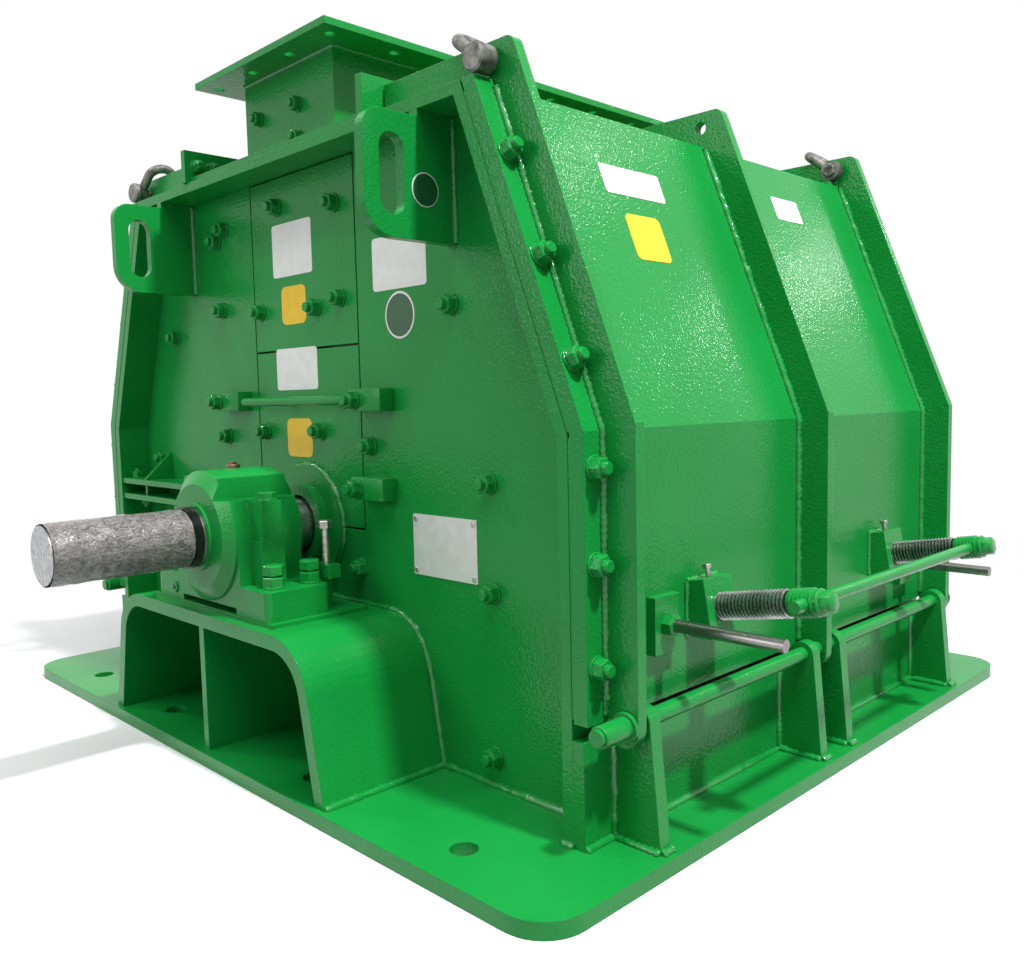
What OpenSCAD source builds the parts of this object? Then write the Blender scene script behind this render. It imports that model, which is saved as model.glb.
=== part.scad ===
// Reversible impact crusher, free standing on its own base plate.
// X runs across the machine, Y along the rotor shaft, Z up.
// The origin is the centre of the underside of the base plate.
// Heights in the sections below are above the top face of the base plate.
// The drive end of the shaft points to -Y; both covers swing outward.

/* [Base plate] */
// Base plate width across the machine, mm
base_x = 2236; // [2100:1:2600]
// Base plate length along the shaft, mm
base_y = 1971; // [1960:1:2400]
// Base plate thickness, mm
base_t = 32; // [20:1:60]
// Base plate corner radius, mm
base_r = 90; // [40:1:110]
// Anchor hole diameter, mm
anchor_d = 54; // [30:1:60]
// Outer anchor holes, distance from the centre across, mm
anchor_x = 820; // [700:1:880]
// Inner anchor holes, distance from the centre across, mm
anchor_in_x = 335; // [200:1:400]
// Anchor holes, distance from the centre along the shaft, mm
anchor_y = 885; // [850:1:900]
// Discharge opening half width across, mm
drop_x = 760; // [500:1:860]
// Discharge opening half length along the shaft, mm
drop_y = 560; // [400:1:600]

/* [Housing frame] */
// Half width of the housing over the end frames, mm
house_x = 965; // [900:1:1000]
// Height of the knee where the side turns inward, mm
knee_z = 745; // [650:1:850]
// Half width of the top of the end frames, mm
top_x = 709; // [650:1:760]
// Height of the top of the end frames, mm
top_z = 1407; // [1350:1:1450]
// End frame plate thickness, mm
ring_t = 25; // [15:1:35]
// Front face of an end frame from the centre, mm
ring_y = 749; // [740:1:760]
// Outer face of an end wall from the centre, mm
wall_y = 655; // [650:1:665]
// End wall plate thickness, mm
wall_t = 25; // [15:1:30]
// Half width of the removable panels, mm
panel_x = 232; // [200:1:260]
// Height of the joint between lower and upper panel, mm
panel_z = 945; // [850:1:1050]
// Gap round a removable panel, mm
panel_gap = 5; // [3:0.5:8]
// Width of the lap strips behind the panel joints, mm
lap_w = 60; // [40:1:80]
// Thickness of the lap strips, mm
lap_t = 12; // [8:1:20]
// Length of the service shelves beside the shaft, mm
shelf_l = 420; // [350:1:450]
// Thickness of a service shelf, mm
shelf_t = 16; // [10:1:20]
// Height of the lower service shelf, mm
shelf_z0 = 521; // [510:1:530]
// Height of the upper service shelf, mm
shelf_z1 = 569; // [560:1:580]
// Service shelf set back from the frame's front face, mm
shelf_in = 4; // [0:1:20]
// Spacer between the shelves: distance from the frame, length and thickness, mm
spacer = [120, 70, 14];
// Thickness of the fixed lower side walls, mm
low_t = 27; // [15:1:30]
// Height of the fixed lower side walls, mm
low_z = 200; // [190:1:215]

/* [Inlet] */
// Half width of the centre top plate, mm
centre_x = 391; // [350:1:400]
// Top plate thickness, mm
top_t = 15; // [10:1:20]
// Top plate half length along the shaft, mm
top_y = 738; // [700:1:745]
// Thickness of the upright side flanges, mm
side_t = 20; // [12:1:24]
// Upright side flanges above the end frames, mm
side_up = 86; // [70:1:110]
// Half length of the upright side flanges, mm
side_y = 755; // [745:1:765]
// Inlet box half width, mm
box_x = 198; // [150:1:240]
// Inlet box half length, mm
box_y = 675; // [600:1:700]
// Inlet box wall thickness, mm
box_t = 15; // [10:1:20]
// Inlet flange half width, mm
inlet_x = 296; // [260:1:330]
// Inlet flange half length, mm
inlet_y = 762; // [720:1:790]
// Height of the top of the inlet flange, mm
inlet_z = 1639; // [1600:1:1700]
// Inlet flange thickness, mm
inlet_t = 16; // [12:1:25]
// Inlet flange bolt hole diameter, mm
inlet_d = 26; // [18:1:30]
// Inlet flange bolt line, half width, mm
inlet_bx = 252; // [230:1:275]
// Inlet flange bolt line, half length, mm
inlet_by = 716; // [700:1:740]
// Inlet flange bolts on each side of the middle of a long side
inlet_n = 4; // [3:1:4]
// Inlet flange bolts on a short side from its middle, mm
inlet_sx = 84; // [60:1:120]
// Inlet flange bolt pitch along the long sides, mm
inlet_pitch = 179; // [150:1:190]

/* [Lifting lugs] */
// Outer face of a lifting lug from the centre, mm
lug_x = 584; // [540:1:620]
// Lifting lug plate thickness, mm
lug_t = 25; // [15:1:35]
// Front edge of a lifting lug from the centre, mm
lug_y = 883; // [860:1:900]
// Upper edge of a lifting lug below the top of the end frames, mm
lug_drop = 40; // [30:1:50]
// Height of a lifting lug, mm
lug_h = 240; // [220:1:260]
// Lug slot width, mm
slot_w = 60; // [40:1:70]
// Lug slot height over its round ends, mm
slot_h = 156; // [120:1:165]
// Lug slot centre from the front edge of the lug, mm
slot_in = 68; // [60:1:80]
// Lug slot above the lower edge of the lug, mm
slot_up = 43; // [30:1:55]
// Radius of the lower corner of a lifting lug, mm
lug_r0 = 70; // [30:1:90]
// Radius of the upper corner of a lifting lug, mm
lug_r1 = 42; // [20:1:60]

/* [Pedestals] */
// Pedestal front face from the centre, mm
ped_y = 972; // [960:1:980]
// Pedestal height, mm
ped_z = 328; // [300:1:340]
// Pedestal half width at its foot, mm
ped_foot = 500; // [460:1:520]
// Pedestal half width where side and top faces would meet, mm
ped_top = 432; // [400:1:450]
// Outer radius of the pedestal bends, mm
ped_r = 130; // [100:1:150]
// Pedestal plate thickness, mm
ped_t = 32; // [20:1:40]
// Pedestal centre web thickness, mm
web_t = 22; // [15:1:30]
// Sole plate half width, mm
sole_x = 286; // [275:1:300]
// Sole plate thickness, mm
sole_t = 10; // [8:1:20]
// Sole plate set back from the pedestal's front edge, mm
sole_in = 28; // [10:1:40]
// Sole plate length along the shaft, mm
sole_y = 249; // [200:1:260]
// Pedestal web set back from the pedestal's front edge, mm
web_in = 6; // [0:1:20]
// Outer side of a jacking arm from the centre across, mm
jack_x = 258; // [250:1:266]
// Width of the post of a jacking arm across, mm
jack_post = 24; // [15:1:30]
// Length of a jacking arm across, mm
jack_l = 60; // [45:1:65]
// Width of a jacking arm along the shaft, mm
jack_y = 32; // [25:1:40]
// Thickness of a jacking arm, mm
jack_t = 31; // [20:1:40]
// Height of a jacking arm above the sole plate, mm
jack_h = 103; // [90:1:110]
// Gap between a bearing foot and the jacking arm behind it, mm
jack_gap = 5; // [5:1:20]

/* [Bearings and shaft] */
// Height of the rotor shaft axis, mm
axis_z = 507; // [500:1:515]
// Shaft diameter at the bearings, mm
shaft_d = 130; // [110:1:140]
// Tip of the drive end from the centre, mm
shaft_tip = 1306; // [1200:1:1400]
// Diameter of the drive end, mm
drive_d = 127; // [100:1:128]
// Plain end of the shaft from the centre, mm
shaft_end = 948; // [930:1:955]
// Shaft diameter inside the housing, mm
body_d = 190; // [150:1:220]
// Bearing centre from the machine centre, mm
brg_y = 863; // [855:1:870]
// Bearing foot half width, mm
foot_x = 266; // [255:1:272]
// Bearing foot length along the shaft, mm
foot_y = 160; // [140:1:170]
// Bearing foot height, mm
foot_h = 65; // [50:1:70]
// Corner radius of the bearing feet, mm
foot_r = 14; // [8:1:20]
// Half width of the relief under a bearing base, mm
relief_x = 130; // [100:1:150]
// Height of the relief under a bearing base, mm
relief_h = 14; // [8:1:25]
// Bearing body radius, mm
brg_r = 152; // [140:1:158]
// Bearing body length along the shaft, mm
brg_w = 170; // [160:1:180]
// Radius of a bearing's end face, mm
cover_r = 122; // [105:1:130]
// Length of the sloping shoulder of a bearing, mm
cover_w = 18; // [8:1:22]
// Radius of the lip on a bearing's end face, mm
lip_r = 80; // [76:1:90]
// Length of the lip on a bearing's end face, mm
lip_w = 8; // [5:1:18]
// Half length of the bolting ears of a bearing across, mm
ear_x = 192; // [180:1:200]
// Width of the bolting ears along the shaft, mm
ear_w = 50; // [44:1:60]
// Bolting ears off the bearing centre, outward, mm
ear_off = 16; // [10:1:22]
// Height of the bolting ears above the joint, mm
ear_up = 87; // [75:1:95]
// Width of the blocks under the ears along the shaft, mm
seat_w = 60; // [50:1:66]
// Half width of the square block on a bearing cap, mm
block_x = 85; // [78:1:92]
// Height of the square block on a bearing cap above the shaft axis, mm
block_z = 137; // [130:1:145]
// Radial running clearance between shaft and bearing, mm
run_gap = 0.1; // [0.05:0.01:0.1]
// Radial clearance where the shaft passes a plate, mm
pass_gap = 8; // [6:0.5:15]
// Radius of the shaft seal plate on an end wall, mm
seal_r = 148; // [130:1:160]
// Thickness of the shaft seal plate, mm
seal_t = 15; // [10:1:20]
// Radius of the neck on the shaft seal plate, mm
neck_r = 100; // [90:1:110]
// Length of the neck on the shaft seal plate, mm
neck_w = 22; // [10:1:30]
// Radius of the hole behind the shaft seal plate, mm
wall_hole_r = 118; // [110:1:125]
// Seal ring outer radius, mm
ring_r = 71; // [68:1:80]
// Seal ring length along the shaft, mm
ring_w = 20; // [14:1:36]
// Gap between a bearing and the seal ring, mm
ring_gap = 6; // [5:0.5:10]

/* [Rotor] */
// Rotor radius over the hammers, mm
rotor_r = 452; // [430:1:458]
// Rotor disc radius, mm
disc_r = 370; // [340:1:390]
// Rotor disc thickness, mm
disc_t = 45; // [30:1:60]
// Rotor half length, mm
rotor_y = 560; // [500:1:570]
// Shaft shoulder standing out of each rotor end, mm
step_w = 6; // [2:1:12]
// Number of rotor discs
disc_n = 5; // [3:1:7]
// Hammer bar thickness, mm
bar_t = 95; // [70:1:120]
// Depth of the hammer bars along the radius, mm
bar_h = 150; // [120:1:170]

/* [Covers] */
// Gap between a closed cover and the end frames, mm
seat_gap = 5; // [5:0.5:8]
// Edge flange thickness of a cover, mm
edge_t = 32; // [25:1:35]
// Cover skin thickness, mm
skin_t = 20; // [12:1:25]
// Height of the lower edge of a cover, mm
cover_z = 231; // [231:1:245]
// Top of the cover skin below the top of the end frames, mm
skin_drop = 12; // [7:1:20]
// Half length of the top part of a cover skin, mm
skin_y = 622; // [600:1:624]
// Outer face of the cover ribs from the centre, mm
rib_x = 1074; // [1070:1:1080]
// Cover ribs above the end frames, mm
rib_over = 70; // [66:1:76]
// Cover rib thickness, mm
rib_t = 24; // [16:1:30]
// End ribs from the machine centre, mm
rib_y = 686; // [680:1:690]
// Corner radius at the top of a rib, mm
rib_r = 22; // [15:1:40]
// Shackle hole from the centre across, mm
eye_x = 745; // [735:1:755]
// Shackle holes above the end frames, mm
eye_up = 33; // [28:1:42]
// Hinge axis from the centre across, mm
hinge_x = 1048; // [1042:1:1050]
// Height of the hinge axis, mm
hinge_z = 231; // [228:1:240]
// Hinge rod diameter, mm
hinge_d = 32; // [25:1:36]
// Front and rear end of a hinge rod from the centre, mm
hinge_y = [782, 716];
// Middle of the round rib ends below the hinge axis, mm
knuckle_drop = 6; // [5:1:12]
// Radius of the bracket tops round the hinge rod, mm
gusset_r = 28; // [26:1:34]
// Hinge bracket plate thickness, mm
gusset_t = 30; // [20:1:32]
// Outer hinge brackets from the centre, mm
gusset_out_y = 652; // [640:1:653]
// Inner hinge brackets from the centre, mm
gusset_in_y = 62; // [50:1:90]
// Hinge brackets' inner edge below the top of the lower walls, mm
gusset_low = 14; // [5:1:40]
// Foot of the hinge brackets from the centre across, mm
gusset_x = 1097; // [1085:1:1105]
// Breaker plate thickness, mm
breaker_t = 60; // [40:1:80]
// Inner edge of the breaker plates from the centre across, mm
breaker_x = 737; // [725:1:760]
// Top, knee and foot of the breaker plates' working face, height, mm
breaker_zs = [785, 725, 445];
// Height of the breaker plates' back from the foot to the top, mm
breaker_back = [415, 735];
// Breaker plates set in from the skin ends, mm
breaker_in = 20; // [10:1:60]

/* [Adjusters] */
// Guide rods from the centre along the shaft, mm
guide_y = 538; // [520:1:560]
// Height of the front and the rear guide rod, mm
guide_z = [381, 348];
// Guide rod diameter, mm
guide_d = 24; // [18:1:28]
// Tip of the front and the rear guide rod from the centre across, mm
guide_tip = [1267, 1232];
// Backing plate width, mm
pad_w = 78; // [60:1:100]
// Backing plate height, mm
pad_h = 110; // [90:1:130]
// Backing plate thickness, mm
pad_t = 20; // [12:1:24]
// Adjusting screws from the centre along the shaft, mm
screw_y = 400; // [380:1:440]
// Adjusting screw where it leaves its bracket, from the centre across, mm
screw_x = 1052; // [1040:1:1066]
// Adjusting screw where it leaves its bracket, height, mm
screw_z = 396; // [380:1:420]
// Adjusting screw tilt above level, degrees
screw_a = 10; // [0:0.5:12]
// Adjusting screw length outside its bracket, mm
screw_l = 214; // [200:1:240]
// Adjusting screw diameter, mm
screw_d = 56; // [48:1:64]
// Adjusting screw hexagon across the flats, mm
hex_s = 41; // [32:1:50]
// Adjusting screw hexagon length, mm
hex_l = 22; // [14:1:30]
// Bracket width along the shaft, mm
brk_w = 100; // [80:1:120]
// Bracket plate thickness, mm
brk_t = 14; // [10:1:18]
// Bracket above the screw axis, mm
brk_up = 60; // [50:1:70]
// Bracket below the screw axis, mm
brk_down = 58; // [40:1:70]
// Cross handle diameter, mm
handle_d = 25; // [20:1:32]
// Half length of a cross handle, mm
handle_y = 458; // [440:1:500]
// Cross handle from the bracket along the screw, mm
handle_s = 187; // [170:1:195]

/* [Shackles] */
// Shackle pin diameter, mm
pin_d = 30; // [22:1:32]
// Shackle pin end standing out of an eye, mm
pin_end = 10; // [5:1:16]
// Radial play of a shackle pin in its hole, mm
pin_gap = 0.1; // [0.05:0.01:0.1]
// Shackle bow bar diameter, mm
bow_d = 25; // [20:1:28]
// Inside width of a shackle, mm
bow_w = 42; // [40:1:48]
// Inside length of a shackle, mm
bow_l = 92; // [80:1:110]
// Shackle eye diameter, mm
boss_d = 54; // [44:1:55]
// Shackle eye width, mm
boss_w = 28; // [26:1:32]
// Rise of a resting shackle bow above level, degrees
bow_a = 36; // [36:1:60]

/* [Hidden] */
$fn = 96;

enamel = "#2f9c4e";
steel = "#8d8f90";
dark = "#3a3c3c";
zinc = "#9a9a96";
far = 4000;

// Slope of the upper sides, degrees from upright.
lean = atan((house_x - top_x) / (top_z - knee_z));
// Outline of the housing moved outward by o: x upright, x and z of the knee.
function face_x(o) = house_x + o;
function face_knee(o) = knee_z + o * tan(lean / 2);
// x on the moved sloping face at height z.
function slope_x(o, z) = face_x(o) - (z - face_knee(o)) * tan(lean);
// Points of an arc, from angle a0 to a1 in n steps.
function arc(x, z, r, a0, a1, n) =
  [for (i = [0:n]) [x + r * cos(a0 + (a1 - a0) * i / n), z + r * sin(a0 + (a1 - a0) * i / n)]];

// Outer offsets of the cover pieces from the end frames.
edge_o = seat_gap + edge_t;
skin_o = edge_o - skin_t;
rib_o = rib_x - house_x;
// Inner edge of the covers and the lower edge of the end ribs over the frames.
in_x = centre_x + side_t + seat_gap;
rib_low = top_z + seat_gap;
// Top of the upper panel.
panel_z1 = top_z - ring_t;
// Heights that follow the top of the end frames.
side_z = top_z + side_up;
lug_z1 = top_z - lug_drop;
lug_z0 = lug_z1 - lug_h;
skin_z = top_z - skin_drop;
rib_z = top_z + rib_over;
eye_z = top_z + eye_up;
// Middle of the bearing ears along the shaft.
ear_y = brg_y + ear_off;
// Shoulder of the drive end, outside the seal ring.
drive_y = brg_y + brg_w / 2 + cover_w + lip_w + ring_gap + ring_w;
// Pedestal bend geometry.
ped_lean = atan((ped_foot - ped_top) / ped_z);
ped_cx = ped_top - ped_r * tan((90 - ped_lean) / 2);
ped_cz = ped_z - ped_r;
foot_z = ped_z + sole_t;

// Raises a piece onto the top face of the base plate.
module up() {
  translate([0, 0, base_t]) children();
}

// Turns an X-Z outline into a plate from y0 to y1.
module plate(y0, y1) {
  translate([0, y1, 0]) rotate([90, 0, 0]) linear_extrude(y1 - y0) children();
}

// The same piece at the other end of the machine.
module rear() {
  mirror([0, 1, 0]) children();
}

// The same piece on the other side of the machine.
module left() {
  mirror([1, 0, 0]) children();
}

// A round bar along Y.
module bar_y(x, z, d, y0, y1) {
  translate([x, y1, z]) rotate([90, 0, 0]) cylinder(d = d, h = y1 - y0);
}

// ---------------------------------------------------------------- base
module base_plate() {
  ix = base_x / 2 - base_r;
  iy = base_y / 2 - base_r;
  color(enamel) difference() {
    union() {
      translate([-base_x / 2, -iy, 0]) cube([base_x, 2 * iy, base_t]);
      translate([-ix, -base_y / 2, 0]) cube([2 * ix, base_y, base_t]);
      for (sx = [-1, 1], sy = [-1, 1]) {
        translate([sx * ix, sy * iy, 0]) cylinder(r = base_r, h = base_t);
      }
    }
    translate([-drop_x, -drop_y, -1]) cube([2 * drop_x, 2 * drop_y, base_t + 2]);
    for (sx = [-1, 1], sy = [-1, 1], x = [anchor_x, anchor_in_x]) {
      translate([sx * x, sy * anchor_y, -1]) cylinder(d = anchor_d, h = base_t + 2);
    }
  }
}

// ------------------------------------------------------------ pedestals
function ped_half(t) = concat(
  [[ped_foot - t / cos(ped_lean), 0]],
  arc(ped_cx, ped_cz, ped_r - t, ped_lean, 90, 10)
);

function flip(p) = [for (i = [len(p) - 1:-1:0]) [-p[i][0], p[i][1]]];

module pedestal() {
  color(enamel) up() {
    plate(-ped_y, -wall_y) difference() {
      polygon(concat(ped_half(0), flip(ped_half(0))));
      polygon(concat(ped_half(ped_t), flip(ped_half(ped_t))));
    }
    translate([-web_t / 2, -ped_y + web_in, 0])
      cube([web_t, ped_y - web_in - wall_y, ped_z - ped_t]);
    translate([-sole_x, -ped_y + sole_in, ped_z]) cube([2 * sole_x, sole_y, sole_t]);
    for (m = [0, 1]) mirror([m, 0, 0])
      translate([0, -brg_y + foot_y / 2 + jack_gap, foot_z]) {
        translate([jack_x - jack_l, 0, 0]) cube([jack_post, jack_y, jack_h]);
        translate([jack_x - jack_l, 0, jack_h - jack_t]) cube([jack_l, jack_y, jack_t]);
      }
  }
}

module front_pedestal() {
  pedestal();
}

module rear_pedestal() {
  rear() pedestal();
}

// -------------------------------------------------------- end of housing
function frame_half(o, low = 0) = [
  [face_x(o), low],
  [face_x(o), face_knee(o)],
  [slope_x(o, top_z + o), top_z + o]
];

module frame() {
  color(enamel) up() plate(-ring_y, -wall_y + wall_t) difference() {
    polygon(concat(frame_half(0), flip(frame_half(0))));
    polygon(concat(frame_half(-ring_t, -ring_t), flip(frame_half(-ring_t, -ring_t))));
  }
}

module front_frame() {
  frame();
}

module rear_frame() {
  rear() frame();
}

module wall() {
  color(enamel) up() {
    plate(-wall_y, -wall_y + wall_t) difference() {
      polygon(concat(frame_half(-ring_t), flip(frame_half(-ring_t))));
      translate([-panel_x - panel_gap / 2, axis_z - panel_gap / 2])
        square([2 * panel_x + panel_gap, far]);
      translate([0, axis_z]) circle(r = wall_hole_r);
    }
    plate(-wall_y + wall_t, -wall_y + wall_t + lap_t) difference() {
      translate([-panel_x - lap_w / 2, axis_z - lap_w / 2])
        square([2 * panel_x + lap_w, panel_z1 - axis_z + lap_w / 2]);
      translate([-panel_x + lap_w / 2, axis_z + lap_w / 2])
        square([2 * panel_x - lap_w, panel_z - axis_z - lap_w]);
      translate([-panel_x + lap_w / 2, panel_z + lap_w / 2])
        square([2 * panel_x - lap_w, panel_z1 - panel_z - lap_w]);
      translate([0, axis_z]) circle(r = wall_hole_r);
    }
    // Service shelf on the left of the shaft.
    for (z = [shelf_z0, shelf_z1])
      translate([-face_x(-ring_t), -ring_y + shelf_in, z])
        cube([shelf_l, ring_y - shelf_in - wall_y, shelf_t]);
    translate([-face_x(-ring_t) + spacer[0], -wall_y - spacer[1], shelf_z0 + shelf_t])
      cube([spacer[2], spacer[1], shelf_z1 - shelf_z0 - shelf_t]);
  }
}

module front_wall() {
  wall();
}

module rear_wall() {
  rear() left() wall();
}

module lower_panel() {
  color(enamel) up() plate(-wall_y, -wall_y + wall_t) difference() {
    translate([-panel_x + panel_gap / 2, axis_z + panel_gap / 2])
      square([2 * panel_x - panel_gap, panel_z - axis_z - panel_gap]);
    translate([0, axis_z]) circle(r = wall_hole_r);
  }
}

module front_lower_panel() {
  lower_panel();
}

module rear_lower_panel() {
  rear() lower_panel();
}

module upper_panel() {
  color(enamel) up() plate(-wall_y, -wall_y + wall_t)
    translate([-panel_x + panel_gap / 2, panel_z + panel_gap / 2])
      square([2 * panel_x - panel_gap, panel_z1 - panel_z - panel_gap]);
}

module front_upper_panel() {
  upper_panel();
}

module rear_upper_panel() {
  rear() upper_panel();
}

module seal_plate() {
  color(enamel) up() difference() {
    union() {
      bar_y(0, axis_z, 2 * seal_r, -wall_y - seal_t, -wall_y);
      bar_y(0, axis_z, 2 * neck_r, -wall_y - seal_t - neck_w, -wall_y - seal_t);
    }
    bar_y(0, axis_z, shaft_d + 2 * pass_gap, -far, -1);
  }
}

module front_seal_plate() {
  seal_plate();
}

module rear_seal_plate() {
  rear() seal_plate();
}

module lug() {
  slot_y = lug_y - slot_in;
  slot_z = lug_z0 + slot_up;
  color(enamel) up() translate([lug_x - lug_t, 0, 0]) rotate([90, 0, 90])
    linear_extrude(lug_t) difference() {
      polygon(concat(
        [[-wall_y, lug_z0], [-wall_y, top_z - ring_t], [-ring_y, top_z - ring_t]],
        [[-ring_y, lug_z1]],
        arc(-lug_y + lug_r1, lug_z1 - lug_r1, lug_r1, 90, 180, 8),
        arc(-lug_y + lug_r0, lug_z0 + lug_r0, lug_r0, 180, 270, 8)
      ));
      translate([-slot_y, slot_z + slot_w / 2]) circle(d = slot_w);
      translate([-slot_y, slot_z + slot_h - slot_w / 2]) circle(d = slot_w);
      translate([-slot_y - slot_w / 2, slot_z + slot_w / 2])
        square([slot_w, slot_h - slot_w]);
    }
}

module front_lifting_lugs() {
  lug();
  left() lug();
}

module rear_lifting_lugs() {
  rear() front_lifting_lugs();
}

// ----------------------------------------------------------------- inlet
module top_plate() {
  color(enamel) up() {
    difference() {
      translate([-centre_x, -top_y, top_z]) cube([2 * centre_x, 2 * top_y, top_t]);
      translate([-box_x + box_t, -box_y + box_t, top_z - 1])
        cube([2 * (box_x - box_t), 2 * (box_y - box_t), top_t + 2]);
    }
    for (s = [0, 1]) mirror([s, 0, 0])
      translate([centre_x, -side_y, top_z]) cube([side_t, 2 * side_y, side_z - top_z]);
  }
}

module inlet_box() {
  z0 = top_z + top_t;
  h = inlet_z - inlet_t - z0;
  color(enamel) up() difference() {
    translate([-box_x, -box_y, z0]) cube([2 * box_x, 2 * box_y, h]);
    translate([-box_x + box_t, -box_y + box_t, z0 - 1])
      cube([2 * (box_x - box_t), 2 * (box_y - box_t), h + 2]);
  }
}

module inlet_flange() {
  color(enamel) up() difference() {
    translate([-inlet_x, -inlet_y, inlet_z - inlet_t])
      cube([2 * inlet_x, 2 * inlet_y, inlet_t]);
    translate([-box_x + box_t, -box_y + box_t, inlet_z - inlet_t - 1])
      cube([2 * (box_x - box_t), 2 * (box_y - box_t), inlet_t + 2]);
    for (s = [-1, 1], i = [-inlet_n:inlet_n])
      translate([s * inlet_bx, i * inlet_pitch, inlet_z - inlet_t - 1])
        cylinder(d = inlet_d, h = inlet_t + 2);
    for (s = [-1, 1], i = [-1, 1])
      translate([i * inlet_sx, s * inlet_by, inlet_z - inlet_t - 1])
        cylinder(d = inlet_d, h = inlet_t + 2);
  }
}

// ---------------------------------------------------- lower side and hinge
module lower_walls() {
  color(enamel) up() for (s = [0, 1]) mirror([s, 0, 0])
    translate([house_x, -ring_y, 0]) cube([low_t, 2 * ring_y, low_z]);
}

module gusset(y) {
  x0 = house_x + low_t;
  color(enamel) up() plate(y - gusset_t / 2, y + gusset_t / 2) difference() {
    polygon(concat(
      [[x0, 0], [gusset_x, 0]],
      arc(hinge_x, hinge_z, gusset_r, 12, 180, 14),
      [[x0, low_z - gusset_low]]
    ));
    translate([hinge_x, hinge_z]) circle(d = hinge_d);
  }
}

module hinge_brackets() {
  for (m = [0, 1], s = [-1, 1], y = [gusset_in_y, gusset_out_y])
    mirror([m, 0, 0]) gusset(s * y);
}

module hinge_rods() {
  color(enamel) up() for (s = [-1, 1])
    bar_y(s * hinge_x, hinge_z, hinge_d, -hinge_y[0], hinge_y[1]);
}

// -------------------------------------------------------------- bearings
// Round body of a bearing with a sloping shoulder and a lip at both ends.
module bearing_drum() {
  translate([0, -brg_y, axis_z]) rotate([90, 0, 0]) {
    cylinder(r = brg_r, h = brg_w, center = true);
    for (m = [0, 1]) mirror([0, 0, m]) translate([0, 0, brg_w / 2]) {
      cylinder(r1 = brg_r, r2 = cover_r, h = cover_w);
      translate([0, 0, cover_w]) cylinder(r = lip_r, h = lip_w);
    }
  }
}

// Feet of a bearing, one plate with round corners.
module bearing_foot() {
  x = foot_x - foot_r;
  y = foot_y / 2 - foot_r;
  translate([0, -brg_y, foot_z]) {
    translate([-foot_x, -y, 0]) cube([2 * foot_x, 2 * y, foot_h]);
    translate([-x, -foot_y / 2, 0]) cube([2 * x, foot_y, foot_h]);
    for (sx = [-1, 1], sy = [-1, 1])
      translate([sx * x, sy * y, 0]) cylinder(r = foot_r, h = foot_h);
  }
}

module bearing_base() {
  h = axis_z - foot_z;
  color(enamel) up() difference() {
    union() {
      bearing_foot();
      translate([-brg_r, -brg_y - foot_y / 2, foot_z]) cube([2 * brg_r, foot_y, h]);
      translate([-ear_x, -ear_y - seat_w / 2, foot_z]) cube([2 * ear_x, seat_w, h]);
      intersection() {
        bearing_drum();
        translate([-far, -far, foot_z]) cube([2 * far, far, h]);
      }
    }
    bar_y(0, axis_z, shaft_d + 2 * run_gap, -far, -1);
    translate([-relief_x, -far, foot_z - 1]) cube([2 * relief_x, far, relief_h + 1]);
  }
}

module bearing_cap() {
  color(enamel) up() difference() {
    union() {
      translate([-ear_x, -ear_y - ear_w / 2, axis_z]) cube([2 * ear_x, ear_w, ear_up]);
      translate([-block_x, -brg_y - brg_w / 2, axis_z]) cube([2 * block_x, brg_w, block_z]);
      intersection() {
        bearing_drum();
        // Full width up to the bolt seats, the block's width above them.
        union() {
          translate([-far, -far, axis_z]) cube([2 * far, far, ear_up]);
          translate([-block_x, -far, axis_z]) cube([2 * block_x, far, far]);
        }
      }
    }
    bar_y(0, axis_z, shaft_d + 2 * run_gap, -far, -1);
  }
}

module bearing_bases() {
  bearing_base();
  rear() bearing_base();
}

module bearing_caps() {
  bearing_cap();
  rear() bearing_cap();
}

// ----------------------------------------------------------------- rotor
module rotor_shaft() {
  color(steel) up() {
    bar_y(0, axis_z, drive_d, -shaft_tip, -drive_y);
    bar_y(0, axis_z, shaft_d, -drive_y, shaft_end);
    bar_y(0, axis_z, body_d, -rotor_y - step_w, rotor_y + step_w);
  }
}

module bars() {
  for (a = [0:90:270]) translate([0, 0, axis_z]) rotate([0, a, 0])
    translate([-bar_t / 2, -rotor_y, rotor_r - bar_h]) cube([bar_t, 2 * rotor_y, bar_h]);
}

module rotor_discs() {
  step = (2 * rotor_y - disc_t) / (disc_n - 1);
  color(dark) up() difference() {
    for (i = [0:disc_n - 1])
      bar_y(0, axis_z, 2 * disc_r, -rotor_y + i * step, -rotor_y + i * step + disc_t);
    bar_y(0, axis_z, body_d, -far, far);
    bars();
  }
}

module hammer_bars() {
  color(steel) up() intersection() {
    bars();
    bar_y(0, axis_z, 2 * rotor_r, -rotor_y, rotor_y);
  }
}

module seal_ring() {
  y1 = -drive_y;
  color("#161616") up() difference() {
    bar_y(0, axis_z, 2 * ring_r, y1, y1 + ring_w);
    bar_y(0, axis_z, shaft_d, -far, -1);
  }
}

// ---------------------------------------------------------------- covers
// Skin outline between two offsets, closed at the top at height z1.
function side_path(o, z0, z1) = [
  [face_x(o), z0],
  [face_x(o), face_knee(o)],
  [slope_x(o, z1), z1]
];

function turn(p) = [for (i = [len(p) - 1:-1:0]) p[i]];

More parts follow.
